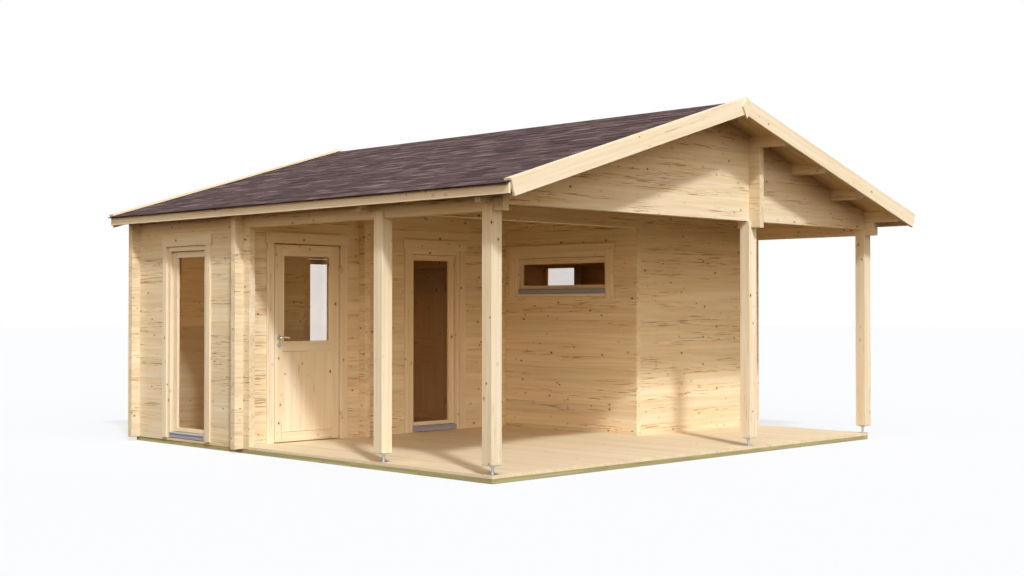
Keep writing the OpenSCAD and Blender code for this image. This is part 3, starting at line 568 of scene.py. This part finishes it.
def markGrain(bm, grain=None, spread=0.05):
    # each island becomes a board of its own: its place in the tree, and a tone
    # the grain runs its long way unless told; spread is how far off its middle the heart may lie
    place, tone = grainLayers(bm)
    for group in islands(bm):
        points = np.array([tuple(v.co) for v in group])
        middle = Vector((points.min(0) + points.max(0)) / 2)
        way = grain if grain is not None else longWay(points)
        side = way.orthogonal().normalized()
        deep = way.cross(side)
        shift = dice.uniform(0, 60)
        heart = (dice.uniform(-spread, spread), dice.uniform(-spread, spread))
        shade = dice.random()
        for v in group:
            p = v.co - middle
            v[place] = (p.dot(way) + shift, p.dot(side) + heart[0], p.dot(deep) + heart[1])
            v[tone] = shade


def finishPiece(bm, name, mat, body="cabin", replaces=(), smooth=False):
    mesh = bpy.data.meshes.new(name)
    bm.to_mesh(mesh)
    bm.free()
    mesh.materials.append(mat)
    if smooth:
        mesh.shade_smooth()
    piece = bpy.data.objects.new(name, mesh)
    scene.collection.objects.link(piece)
    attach(piece, body)
    if replaces:
        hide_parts(*replaces)


def words(node):
    first, *rest = node.split("_")
    return first + "".join(part.capitalize() for part in rest)


def dressNode(node, name, mat, ease, grain=None, spread=None, cuts=(), easeAlong=None):
    # a CAD node sawn by the cuts, with its edges eased and, where spread is given, wood grain
    bm = openCad(node)
    for normal, stations in cuts:
        sliceUp(bm, normal, stations)
    easeEdges(bm, ease, easeAlong)
    if spread is not None:
        markGrain(bm, grain, spread)
    finishPiece(bm, name, mat, replaces=[node])


def addBox(bm, low, high, matrix=None):
    made = bmesh.ops.create_cube(bm, size=1.0)["verts"]
    low, high = Vector(low), Vector(high)
    for v in made:
        v.co = Vector(low[i] if v.co[i] < 0 else high[i] for i in range(3))
        if matrix is not None:
            v.co = matrix @ v.co
    return made


def pour(part, bm, ease):
    # adds a finished part to a piece, with its edges eased
    outwards(part)
    easeEdges(part, ease)
    mesh = bpy.data.meshes.new("pour")
    part.to_mesh(mesh)
    part.free()
    bm.from_mesh(mesh)
    bpy.data.meshes.remove(mesh)


def wallMatrix(thin, outward=1, face=0.0):
    # maps (along the wall, out of the wall, up) to the scene, with the wall's outside face at 0
    rows = [(1, 0, 0, 0), (0, outward, 0, face)]
    return Matrix((*(rows if thin else rows[::-1]), (0, 0, 1, 0), (0, 0, 0, 1)))


def addBoards(bm, matrix, outs, ease, boards):
    # planed boards, each an island of its own: two places along the wall, two heights
    for u0, u1, z0, z1 in boards:
        part = bmesh.new()
        addBox(part, (u0, outs[0], z0), (u1, outs[1], z1), matrix)
        pour(part, bm, ease)


# walls and beams of logs
logSettings = {
    "course": 0.134,  # height of a log
    "groove": 0.0030,  # chamfer that makes half of the groove between two logs
    "spread": 0.035,
    "walls": {
        "left_wall": "y", "right_wall": "y", "entry_partition": "y", "sauna_side_wall": "y",
        "wash_wall": "y", "left_eave_beam": "y", "right_eave_beam": "y", "gable_cross_log": "y",
        "back_wall": "x", "back_gable": "x", "door_wall": "x", "door_wall_gable": "x",
        "window_wall": "x", "sauna_partition": "x", "sauna_front_wall": "x", "inner_gable": "x",
        "front_gable": "x",
    },
}


def buildLogs():
    course = logSettings["course"]
    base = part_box("back_wall")[0].z
    for node, way in logSettings["walls"].items():
        grain = alongY if way == "y" else alongX
        first = base + (course / 2 if way == "y" else course)  # logs along Y start half a course lower
        count = int((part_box(node)[1].z - first) / course) + 1
        dressNode(node, words(node) + "Logs", logWood, logSettings["groove"], grain,
                  logSettings["spread"], [(up, [first + k * course for k in range(count)])], grain)


buildLogs()
print("log walls built")


# foundation, decks, posts and purlins
groundSettings = {
    "boards": {"terrace_deck": 0.1206, "room_floors": 0.096},  # width of a board
    "boardEase": 0.0016, "boardSpread": 0.09, "beamEase": 0.003, "postEase": 0.004, "purlinEase": 0.002,
    "beamLength": 1.02,
    "beamSplit": 0.45,  # height of the lower of two beams, as a share of both
    "spread": 0.05,  # of the beams, posts and purlins
}


def stationsOf(low, high, step):
    count = max(1, round((high - low) / step))
    return [low + (high - low) * k / count for k in range(1, count)]


def buildGround():
    boardEase, boardSpread, beamEase, spread = pick(groundSettings, "boardEase boardSpread beamEase spread")
    for node, step in groundSettings["boards"].items():
        low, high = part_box(node)
        dressNode(node, words(node) + "Boards", deckWood, boardEase, alongY, boardSpread,
                  [(alongX, stationsOf(low.x, high.x, step))], alongY)
    for node in ("edge_beam_left", "edge_beam_right"):
        low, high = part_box(node)
        split = low.z + (high.z - low.z) * groundSettings["beamSplit"]
        dressNode(node, words(node) + "Timber", treatedWood, beamEase, alongY, spread,
                  [(up, [split]), (alongY, stationsOf(low.y, high.y, groundSettings["beamLength"]))])
    dressNode("floor_joists", "floorJoistTimber", treatedWood, beamEase, alongX, spread)


def buildFrame():
    postEase, purlinEase, spread = pick(groundSettings, "postEase purlinEase spread")
    dressNode("posts", "postsTimber", trimWood, postEase, up, spread)
    dressNode("roof_purlins", "roofPurlinsTimber", logWood, purlinEase, alongY, spread)


buildGround()
buildFrame()
print("ground and frame built")


# roof
roofSettings = {
    "board": 0.104,  # width of a roof board
    "boardEase": 0.002, "boardSpread": 0.06,
    "row": 0.1817,  # visible depth of a shingle row, down the slope
    "rowLap": 0.07,  # how far a row reaches under the one above
    "rowLift": (0.0036, 0.0072),  # off the boards, at a row's upper and lower edge
    "uneven": 0.002,  # how far a tab's edge strays
    "tab": 0.333,  # width of a tab
    "leastTab": 0.02,
    "slot": 0.006,  # cut between two tabs
    "sheet": 0.0032,  # thickness of a tab
    "felt": 0.0003,  # lift of the whole sheet below the tabs
    "drip": 0.024,  # how far the lowest row reaches past the eave
    "capPiece": 0.155,  # visible length of a ridge piece
    "capLap": 0.05,
    "capBends": (-1.0, -0.5, -0.12, 0.0, 0.12, 0.5, 1.0),  # across the ridge, in halves of the cap
    "capLift": (0.0027, 0.0003),
    "capSink": 0.008,  # below the CAD's cap
    "capRound": 0.004,  # taken off the ridge line
    "trimEase": {"front_barge_boards": 0.0008, "back_barge_boards": 0.0008, "gable_diamonds": 0.0025,
                 "eave_fascias": 0.002},
    "trimSpread": 0.07,
}


def roofSlope(node):
    # one side's slope from its shingle layer: side, ridge point, way down and length
    low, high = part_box(node)
    side = -1 if low.x + high.x < 0 else 1
    reach = max(abs(low.x), abs(high.x))
    bm = openCad(node)
    edge = [v.co.z for v in bm.verts if abs(abs(v.co.x) - reach) < 1e-3]
    ridge = [v.co.z for v in bm.verts if abs(v.co.x) < 1e-3]
    bm.free()
    down = Vector((side * reach, 0, max(edge) - max(ridge)))
    return side, Vector((0, 0, min(ridge))), down.normalized(), down.length


def buildRoofBoards():
    board, ease, spread = pick(roofSettings, "board boardEase boardSpread")
    for node in ("roof_boards_left", "roof_boards_right"):
        low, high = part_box(node)
        rise = (high.z - low.z) * (1 if node.endswith("left") else -1)
        slopeWay = Vector((high.x - low.x, 0, rise)).normalized()
        # the roof boards wear the orange copy of the wood, which paints the shade under the roof
        dressNode(node, words(node) + "Planks", shadeWarmedRoofWood, ease, slopeWay, spread,
                  [(alongY, stationsOf(low.y, high.y, board))], slopeWay)


def addSheet(bm, slope, ys, reach, lifts, shade, shift):
    # a thin sheet lying on the slope between two distances from the ridge
    ridge, down, normal = slope
    place, tone = grainLayers(bm)
    verts = []
    for distance, lift in zip(reach, lifts):
        for y in ys:
            for thick in (0, roofSettings["sheet"]):
                v = bm.verts.new(ridge + down * distance + normal * (lift + thick) + alongY * y)
                v[place] = (y + shift, distance, shade)
                v[tone] = shade
                verts.append(v)
    a, b, c, d, e, f, g, h = verts
    for face in ((b, d, h, f), (a, e, g, c), (a, b, f, e), (c, g, h, d), (e, f, h, g), (a, c, d, b)):
        bm.faces.new(face)


def buildShingles():
    settings = roofSettings
    row, tab, drip, uneven, felt = pick(settings, "row tab drip uneven felt")
    for node in ("shingles_left", "shingles_right"):
        low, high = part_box(node)
        side, ridge, down, length = roofSlope(node)
        slope = (ridge, down, Vector((side * abs(down.z), 0, abs(down.x))).normalized())
        bm = bmesh.new()
        addSheet(bm, slope, (low.y, high.y), (0.004, length + drip - 0.002), (felt, felt), 0.3, 0.0)
        for k in range(math.ceil(length / row)):
            lower = length - k * row
            upper = max(lower - row - settings["rowLap"], 0.006)
            y = low.y - (tab / 2 if k % 2 else 0.0)
            while y < high.y - 0.01:
                y0, y1 = max(y, low.y), min(y + tab - settings["slot"], high.y)
                if y1 - y0 > settings["leastTab"]:
                    slip = dice.uniform(-uneven, uneven) if k else drip
                    addSheet(bm, slope, (y0, y1), (upper, lower + slip), settings["rowLift"],
                             dice.random(), dice.uniform(-0.3, 0.3))
                y += tab
        outwards(bm)
        finishPiece(bm, words(node) + "Rows", shingle, replaces=[node])


def buildRidgeCap():
    # short pieces bent over the ridge, each over the one in front of it
    bends, piece, lap, lifts, sink, rounding, sheet = pick(
        roofSettings, "capBends capPiece capLap capLift capSink capRound sheet")
    low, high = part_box("ridge_cap")
    count = len(bends)
    bm = bmesh.new()
    place, tone = grainLayers(bm)
    y = high.y
    while y > low.y + roofSettings["leastTab"]:
        shade = dice.random()
        rim = []
        for end, lift in zip((max(y - piece - lap, low.y), y), lifts):
            for x in bends:
                fall = abs(x) * (high.z - low.z) + rounding * max(0.0, 1 - abs(x) * 8)
                pair = []
                for thick in (0.0, sheet):
                    v = bm.verts.new((x * high.x, end, high.z - sink - fall + lift + thick))
                    v[place] = (end + shade * 3, x * high.x, shade)
                    v[tone] = shade
                    pair.append(v)
                rim.append(pair)
        for k in range(count - 1):
            a, b, c, d = rim[k], rim[k + 1], rim[k + count], rim[k + count + 1]
            for face in ((a[1], b[1], d[1], c[1]), (a[0], c[0], d[0], b[0]), (a[0], b[0], b[1], a[1]),
                         (c[0], c[1], d[1], d[0])):
                bm.faces.new(face)
        for a, c in ((rim[0], rim[count]), (rim[count - 1], rim[-1])):
            bm.faces.new((a[0], a[1], c[1], c[0]))
        y -= piece
    outwards(bm)
    finishPiece(bm, "ridgeCapPieces", shingle, replaces=["ridge_cap"])


def buildRoofTrim():
    for node, ease in roofSettings["trimEase"].items():
        dressNode(node, words(node) + "Planed", trimWood, ease,
                  up if node == "gable_diamonds" else None, roofSettings["trimSpread"])


buildRoofBoards()
buildShingles()
buildRidgeCap()
buildRoofTrim()
print("roof built")


# windows
windowSettings = {
    "lap": 0.020,  # casing over the hole's edge
    "legShow": 0.048,  # fixed frame beside the casings, and over the sash
    "legFront": -0.001,  # its face before the wall
    "legOut": 0.014,  # how far the CAD's legs stand out
    "legNear": 0.15,  # farthest that a frame's own legs stand from it
    "headShow": {"tall": 0.052, "low": 0.064},
    "sashFace": -0.034,
    "sashInset": {"even": (0.010, 0.010), "uneven": (-0.027, 0.013)},  # its two inner edges, moved in
    "railFace": -0.036,  # rail under the sash
    "paneReach": 0.034,  # how far the tall panes reach into the thin stile
    "tallPane": 1.0,  # panes higher than this are tall
    "gap": 0.005,  # dark line round the sash
    "bead": 0.006,  # glazing bead
    "back": -0.0698, "beadFront": -0.048, "beadDepth": 0.011, "beadEase": 0.003,
    "sillTop": 0.046,  # below the glass
    "stripHalf": 0.695,  # strip below the low window's sill: half its length
    "stripHeight": 0.025, "stripFront": 0.012,
    "stripDrop": 0.015,  # from the hole's edge
    "seam": 0.0004,  # between two boards
    "hiddenSeam": 0.0006,  # between the legs and the boards behind the casings
    "ease": 0.0018,
}


def ringOf(verts):
    # the axis through the wall, the corners, and the levels along the wall and upwards
    low, high = corners(verts)
    thin = 0 if high.x - low.x < high.y - low.y else 1
    return {"thin": thin, "low": low, "high": high, "us": levels(verts, 1 - thin), "zs": levels(verts, 2)}


def addWindow(bm, ring, legs, kind):
    # fixed frame, sash and beads of one opening, on the levels of its CAD ring
    settings = windowSettings
    thin, us, zs = ring["thin"], ring["us"], ring["zs"]
    near, far = ring["low"][thin], ring["high"][thin]
    mine = [leg for leg in legs if leg["thin"] == thin and us[0] < leg["us"][0] < us[3]
            and abs(leg["low"][thin] - near) < settings["legNear"]]
    # the legs stand out before the wall, on the side away from the room
    front = max((leg[end][thin] for leg in mine for end in ("low", "high")),
                key=lambda value: abs(value - (near + far) / 2))
    outward = 1 if front > near else -1
    matrix = wallMatrix(thin, outward, front - outward * settings["legOut"])
    foot = min(leg["zs"][0] for leg in mine)

    lap, show, gap, seam, hidden, ease = pick(settings, "lap legShow gap seam hiddenSeam ease")
    legOuts, railOuts, sashOuts = (
        (settings["back"], face) for face in pick(settings, "legFront railFace sashFace"))
    edge0, edge1, top = us[0] + lap, us[3] - lap, zs[3] - lap
    in0, in1, under = edge0 + show, edge1 - show, top - settings["headShow"][kind]
    railTop = zs[1] - settings["sillTop"]
    addBoards(bm, matrix, legOuts, ease, (
        (us[0], edge0 - hidden, zs[0], zs[3]), (edge1 + hidden, us[3], zs[0], zs[3]),
        (edge0, edge1, top + hidden, zs[3]), (edge0 + seam, in0, foot, top),
        (in1, edge1 - seam, foot, top), (in0 + seam, in1 - seam, under, top)))
    addBoards(bm, matrix, railOuts, ease, [(in0 + seam, in1 - seam, zs[0], railTop)])

    # sash: stiles run through, rails fit between them; the tall windows at the front are uneven
    inset0, inset1 = settings["sashInset"]["uneven" if kind == "tall" and outward < 0 else "even"]
    sash0, sash1, sashIn0, sashIn1 = in0 + gap, in1 - gap, us[1] + inset0, us[2] - inset1
    sashLow, sashTop = railTop + gap, under - gap
    addBoards(bm, matrix, sashOuts, ease, (
        (sash0, sashIn0, sashLow, sashTop), (sashIn1, sash1, sashLow, sashTop),
        (sashIn0 + seam, sashIn1 - seam, sashLow, zs[1]), (sashIn0 + seam, sashIn1 - seam, zs[2], sashTop)))
    bead, beadFront, beadDepth, beadEase = pick(settings, "bead beadFront beadDepth beadEase")
    addBoards(bm, matrix, (beadFront - beadDepth, beadFront), beadEase, (
        (sashIn0 + seam, sashIn0 + bead, zs[1] + seam, zs[2] - seam),
        (sashIn1 - bead, sashIn1 - seam, zs[1] + seam, zs[2] - seam)))
    if kind == "low":
        half, height, drop, stripFront = pick(settings, "stripHalf stripHeight stripDrop stripFront")
        centre, stripTop = (us[0] + us[3]) / 2, zs[0] - drop
        addBoards(bm, matrix, (seam, stripFront), ease,
                  [(centre - half, centre + half, stripTop - height, stripTop)])


def buildWindows():
    bm = bmesh.new()
    for node, kind in (("window_frames", "tall"), ("sauna_window_frame", "low")):
        cad = openCad(node)
        rings = [ringOf(group) for group in islands(cad)]
        cad.free()
        legs = [ring for ring in rings if len(ring["us"]) == 2]
        for ring in rings:
            if len(ring["us"]) == 4:
                addWindow(bm, ring, legs, kind)
    markGrain(bm)
    finishPiece(bm, "windowFrameRails", trimWood,
                replaces=["window_frames", "sauna_window_frame"])


def buildPanes():
    panes = openCad("window_glass")
    for group in islands(panes):
        ring = ringOf(group)
        wide, edge = 1 - ring["thin"], ring["us"][0]
        if ring["high"].z - ring["low"].z > windowSettings["tallPane"]:
            for v in group:
                if abs(v.co[wide] - edge) < meshSettings["same"]:
                    v.co[wide] -= windowSettings["paneReach"]
    finishPiece(panes, "windowPanes", pane, replaces=["window_glass"])


casingSettings = {"seam": 0.0004, "ease": 0.0022}


def buildCasings():
    # two upright boards and a header on each opening, from the CAD's own outline
    seam, ease = pick(casingSettings, "seam ease")
    cad = openCad("casings")
    bm = bmesh.new()
    for group in islands(cad):
        ring = ringOf(group)
        thin, us, zs = ring["thin"], ring["us"], ring["zs"]
        under = next(z for z in zs if z > (zs[0] + zs[-1]) / 2)
        addBoards(bm, wallMatrix(thin), (ring["low"][thin], ring["high"][thin]), ease, (
            (us[1], us[2], zs[0], under - seam), (us[-3], us[-2], zs[0], under - seam),
            (us[0], us[-1], under, zs[-1])))
    cad.free()
    markGrain(bm)
    finishPiece(bm, "casingBoards", trimWood, replaces=["casings"])


sillSettings = {
    "cadOut": 0.046,  # how far the CAD's sill stands out
    "nose": 0.013,  # front of the top plate, from the wall's face
    "plate": 0.016,  # its thickness
    "apron": 0.003,  # face of the sheet below it
    "apronInset": 0.0005,  # at each end, and the easing of its edges
    "seam": 0.0003,
    "fall": 0.006,
    "ease": 0.0012,
}


def buildSills():
    # a sloping plate over an apron, both between the legs of the frame
    cadOut, nose, plate, apron, inset, seam, fall, ease = pick(
        sillSettings, "cadOut nose plate apron apronInset seam fall ease")
    cad = openCad("window_sills")
    bm = bmesh.new()
    for group in islands(cad):
        low, high = corners(group)
        thin = 0 if high.x - low.x < high.y - low.y else 1
        wide, top = 1 - thin, high.z
        # the nose of the CAD's section is on the side of its lowest corners
        lowest = [v.co[thin] for v in group if v.co.z < low.z + 1e-4]
        outward = 1 if sum(lowest) / len(lowest) > (low[thin] + high[thin]) / 2 else -1
        inner, tip = (low[thin], high[thin]) if outward > 0 else (high[thin], low[thin])
        face = tip - outward * cadOut
        back = (inner - face) * outward
        matrix = wallMatrix(thin, outward, face)
        made = bmesh.new()
        for v in addBox(made, (low[wide], back, top - plate), (high[wide], nose, top), matrix):
            if (v.co[thin] - face) * outward > nose - 1e-4 and v.co.z > top - 1e-4:
                v.co.z -= fall
        pour(made, bm, ease)
        addBoards(bm, matrix, (seam, apron), inset,
                  [(low[wide] + inset, high[wide] - inset, low.z, top - plate - seam)])
    cad.free()
    finishPiece(bm, "sillFlashing", coatedSill, replaces=["window_sills"])


buildWindows()
buildPanes()
buildCasings()
buildSills()
print("windows built")


# entrance door; an outline is for turned: distance along the axis, radius
doorSettings = {
    "stile": 0.095, "glassStile": 0.132, "bottomRail": 0.098, "lockRail": 0.106, "thickness": 0.044,
    "gap": 0.006,  # taken off the leaf's edges
    "hingeGap": 0.014,  # on the hinge side
    "glassBack": 0.016,
    "glassStep": 0.0006,  # frame round the glass, below the leaf's face
    "panelBack": 0.0035,  # the lower panel is almost flush
    "panelSheet": 0.020,  # back of each of its two sheets, from the face
    "panelInset": 0.003,
    "seam": 0.0003, "ease": 0.0016, "spread": 0.06, "glassEase": 0.0008, "panelEase": 0.0007,
    "rose": ((0.0, 0.027), (0.005, 0.027), (0.0072, 0.025), (0.008, 0.022)),
    "roseSteps": 40,
    "lock": ((0.0, 0.0085), (0.0022, 0.0085), (0.003, 0.0075)),
    "lockDrop": 0.070,  # lock rose below the lever
    "lockKey": (0.0012, 0.0004, 0.005),  # half sizes of the keyhole
}

hingeSettings = {
    "fromEnd": 0.24,  # from the leaf's top and bottom
    "barrel": ((0.0, 0.0078), (0.001, 0.008), (0.042, 0.008), (0.0436, 0.0068), (0.045, 0.004)),
    "strap": (0.005, 0.008),  # its two faces, from the pin
    "strapHeight": (0.001, 0.044),
    "strapLap": 0.001,  # into the leaf's face
}

leverSettings = {
    "radius": 0.0112,  # of the bar
    "collar": 0.0094, "bend": 0.016,
    "collarOut": (0.006, 0.012, 0.014),  # from the leaf's face
    "bow": 0.006,  # away from the straight, towards the leaf
    "rise": 0.009,
    "riseShape": 0.6,  # below 1 the rise comes early
    "droop": 0.002,  # at the tip
    "tip": 0.004,  # length of the rounded end
    "flatten": 0.25,  # how much flatter the bar gets
    "sides": 16, "bendSteps": 6, "barSteps": 10,
}


def joinRings(bm, rings):
    for lower, upper in zip(rings, rings[1:]):
        for k in range(len(lower)):
            j = (k + 1) % len(lower)
            bm.faces.new((lower[k], lower[j], upper[j], upper[k]))


def turned(bm, outline, centre, axis, steps=24):
    # a lathe shape with closed ends
    axis = Vector(axis)
    side = axis.orthogonal().normalized()
    other = axis.cross(side)
    rings = []
    for along, radius in outline:
        middle = Vector(centre) + axis * along
        rings.append([bm.verts.new(middle + (side * math.cos(t) + other * math.sin(t)) * radius)
                      for t in (2 * math.pi * k / steps for k in range(steps))])
    joinRings(bm, rings)
    bm.faces.new(rings[0][::-1])
    bm.faces.new(rings[-1])


def jointPlace(name):
    return Vector(next(j for j in frame["joints"] if j["name"] == name)["pos_m"])


def buildHinges(name, body, pin, leafEnds, strapLow, strapHigh):
    # the half of each hinge that turns with a leaf: a barrel and a strap
    bm = bmesh.new()
    fromEnd, barrel, (foot, top) = pick(hingeSettings, "fromEnd barrel strapHeight")
    for z in (leafEnds[0] + fromEnd, leafEnds[1] - fromEnd):
        turned(bm, barrel, (pin.x, pin.y, z), (0, 0, 1))
        addBox(bm, (*strapLow, z + foot), (*strapHigh, z + top))
    outwards(bm)
    finishPiece(bm, name, agedBrass, body)


def buildEntranceDoor():
    settings = doorSettings
    glassLow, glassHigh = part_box("door_glass")
    pin = jointPlace("entrance_door_swing")
    lever = jointPlace("lever_turn")
    cad = openCad("door_leaf")
    low, high = corners(cad.verts)
    cad.free()
    gap, hingeGap, stile, glassStile, seam, ease = pick(settings, "gap hingeGap stile glassStile seam ease")
    x0, x1 = low.x + hingeGap, glassHigh.x + glassStile - gap / 2
    z0, z1 = low.z, high.z - gap
    front = glassLow.y - settings["glassBack"]
    back = front + settings["thickness"]
    px0, px1 = x0 + stile, x1 - stile
    panelLow, panelTop = z0 + settings["bottomRail"], glassLow.z - settings["lockRail"]
    bm = bmesh.new()
    matrix = wallMatrix(1)
    rails = ((z0, panelLow), (panelTop, glassLow.z), (glassHigh.z, z1))
    addBoards(bm, matrix, (front, back), ease, (
        (x0, px0, z0, z1), (px1, x1, z0, z1), *((px0 + seam, px1 - seam, *rail) for rail in rails)))
    # the glass has an almost flush frame of its own, inside the stiles
    step, glassEase = pick(settings, "glassStep glassEase")
    addBoards(bm, matrix, (front + step, back - step), glassEase, (
        (px0 + seam, glassLow.x, glassLow.z + seam, glassHigh.z - seam),
        (glassHigh.x, px1 - seam, glassLow.z + seam, glassHigh.z - seam)))
    flush, sheet, inset, panelEase = pick(settings, "panelBack panelSheet panelInset panelEase")
    for outs in ((front + flush, front + sheet), (back - sheet, back - flush)):
        addBoards(bm, matrix, outs, panelEase, [(px0, px1, panelLow + inset, panelTop - inset)])
    markGrain(bm, None, settings["spread"])
    finishPiece(bm, "doorLeafBoards", trimWood, "entrance_door", ["door_leaf"])

    # roses on both sides, then the lock in the lower ones
    steel = bmesh.new()
    lockHeight = lever.z - settings["lockDrop"]
    for z in (lever.z, lockHeight):
        for y, way in ((front, -1), (back, 1)):
            turned(steel, settings["rose"], (lever.x, y, z), (0, way, 0), settings["roseSteps"])
    roseOut, lockOut = settings["rose"][-1][0], settings["lock"][-1][0]
    halfX, halfY, halfZ = settings["lockKey"]
    for y, way in ((front - roseOut, -1), (back + roseOut, 1)):
        turned(steel, settings["lock"], (lever.x, y, lockHeight), (0, way, 0))
        face = y + way * lockOut
        addBox(steel, (lever.x - halfX, face - halfY, lockHeight - halfZ),
               (lever.x + halfX, face + halfY, lockHeight + halfZ))
    outwards(steel)
    finishPiece(steel, "doorRoses", satinSteel, "entrance_door")

    (near, far), lap = pick(hingeSettings, "strap strapLap")
    buildHinges("doorHingeHalves", "entrance_door", pin, (z0, z1),
                (pin.x - far, pin.y), (pin.x - near, front + lap))
    glass = frame["nodes"]["door_glass"]
    glass.data.materials.clear()
    glass.data.materials.append(pane)
    buildLever(lever, front, back)


def leverPath(lever, face, way, reach, end):
    # out of the rose, round a bend, then along the leaf in a flat wave
    collarOut, bend, bends, bars, bow, rise, riseShape, droop = pick(
        leverSettings, "collarOut bend bendSteps barSteps bow rise riseShape droop")
    path = [Vector((lever.x, face + way * collarOut[1], lever.z))]
    for k in range(bends + 1):
        angle = math.pi / 2 * k / bends
        path.append(Vector((lever.x + bend * (1 - math.cos(angle)),
                            reach - way * bend * (1 - math.sin(angle)), lever.z)))
    start = lever.x + bend
    for k in range(1, bars + 1):
        t = k / bars
        path.append(Vector((start + (end - start) * t,
                            reach - way * bow * math.sin(math.pi * t),
                            lever.z + rise * math.sin(math.pi * t ** riseShape) - droop * t)))
    return path


def buildLever(lever, front, back):
    radius, collar, collarOut, sides, tipLength, flatten = pick(
        leverSettings, "radius collar collarOut sides tip flatten")
    straight = leverSettings["bendSteps"] + 2
    low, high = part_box("door_lever")
    bm = bmesh.new()
    for y, way in ((front, -1), (back, 1)):
        turned(bm, zip(collarOut, (collar, collar, radius)), (lever.x, y, lever.z), (0, way, 0))
        reach = low.y + radius if way < 0 else high.y - radius
        path = leverPath(lever, y, way, reach, high.x - tipLength)
        rings = []
        for k, point in enumerate(path):
            ahead = path[min(k + 1, len(path) - 1)] - path[max(k - 1, 0)]
            side = ahead.normalized().cross(up).normalized()
            flat = 1.0 - flatten * min(1.0, max(0.0, (k - straight) / 6))
            rings.append([bm.verts.new(point + side * math.cos(t) * radius * flat + up * math.sin(t) * radius)
                          for t in (2 * math.pi * j / sides for j in range(sides))])
        joinRings(bm, rings)
        tip = bm.verts.new(path[-1] + (path[-1] - path[-2]).normalized() * tipLength)
        for j in range(sides):
            bm.faces.new((rings[-1][j], rings[-1][(j + 1) % sides], tip))
        bm.faces.new(rings[0][::-1])
    outwards(bm)
    finishPiece(bm, "leverHandle", brightSteel, "lever", ["door_lever"], smooth=True)


# inner door
innerDoorSettings = {
    "width": 0.70, "thickness": 0.040, "gap": 0.004, "topGap": 0.005, "stile": 0.110,
    "wallInset": 0.005,  # near face inside the wall's
    "bottomRail": 0.060, "middleRail": (0.690, 1.030), "topRail": 0.150, "panelBoards": 4,
    "panelBack": 0.014,
    "panelInset": 0.003,  # how far the panels go into the rails
    "groove": 0.018,  # deep line between a rail and its bead
    "bead": 0.012,
    "beadOut": (0.003, 0.0138),  # its face and back, from the leaf's face
    "seam": 0.0004, "ease": 0.0022, "spread": 0.06, "panelEase": 0.0014, "beadEase": 0.003,
}


def buildInnerDoor():
    settings = innerDoorSettings
    low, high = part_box("inner_door_leaf")
    pin = jointPlace("inner_door_swing")
    gap, seam, ease, width, count = pick(settings, "gap seam ease width panelBoards")
    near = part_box("wash_wall")[0].x + settings["wallInset"]
    far = near + settings["thickness"]
    y0, y1 = high.y - width + gap, high.y - gap
    z0, z1 = low.z, high.z - settings["topGap"]
    in0, in1 = y0 + settings["stile"], y1 - settings["stile"]
    bm = bmesh.new()
    matrix = wallMatrix(0)
    bottomRail, (middleLow, middleTop), topRail = pick(settings, "bottomRail middleRail topRail")
    rails = ((z0, z0 + bottomRail), (z0 + middleLow, z0 + middleTop), (z1 - topRail, z1))
    addBoards(bm, matrix, (near, far), ease, (
        (y0, in0, z0, z1), (in1, y1, z0, z1), *((in0 + seam, in1 - seam, *rail) for rail in rails)))
    board = (in1 - in0) / count
    recess, inset, panelEase = pick(settings, "panelBack panelInset panelEase")
    groove, bead, (face, behind), beadEase = pick(settings, "groove bead beadOut beadEase")
    for lower, upper in zip(rails, rails[1:]):
        bottom, top = lower[1], upper[0]
        addBoards(bm, matrix, (near + recess, far - recess), panelEase, [
            (in0 + k * board, in0 + (k + 1) * board, bottom - inset, top + inset) for k in range(count)])
        bottom, top = bottom + groove, top - groove
        beads = ((in0, in0 + bead, bottom, top), (in1 - bead, in1, bottom, top),
                 (in0 + bead, in1 - bead, bottom, bottom + bead), (in0 + bead, in1 - bead, top - bead, top))
        for outs in ((near + face, near + behind), (far - behind, far - face)):
            addBoards(bm, matrix, outs, beadEase, beads)
    markGrain(bm, None, settings["spread"])
    finishPiece(bm, "innerDoorBoards", trimWood, "inner_door", ["inner_door_leaf"])

    (strapNear, strapFar), lap = pick(hingeSettings, "strap strapLap")
    buildHinges("innerDoorHinges", "inner_door", pin, (z0, z1),
                (pin.x, pin.y + strapNear), (near + lap, pin.y + strapFar))


fittingSettings = {"frameEase": 0.002, "frameSpread": 0.05, "hingeEase": 0.0004, "footEase": 0.0006}


def buildDoorFrames():
    for node in ("door_frame", "inner_door_frame"):
        dressNode(node, words(node) + "Boards", trimWood,
                  fittingSettings["frameEase"], None, fittingSettings["frameSpread"])
    dressNode("door_hinges", "fixedHingeHalves", agedBrass, fittingSettings["hingeEase"])


buildEntranceDoor()
buildInnerDoor()
buildDoorFrames()
print("doors built")

dressNode("post_feet", "postFeetZinc", zincSteel, fittingSettings["footEase"])
print("post feet built")
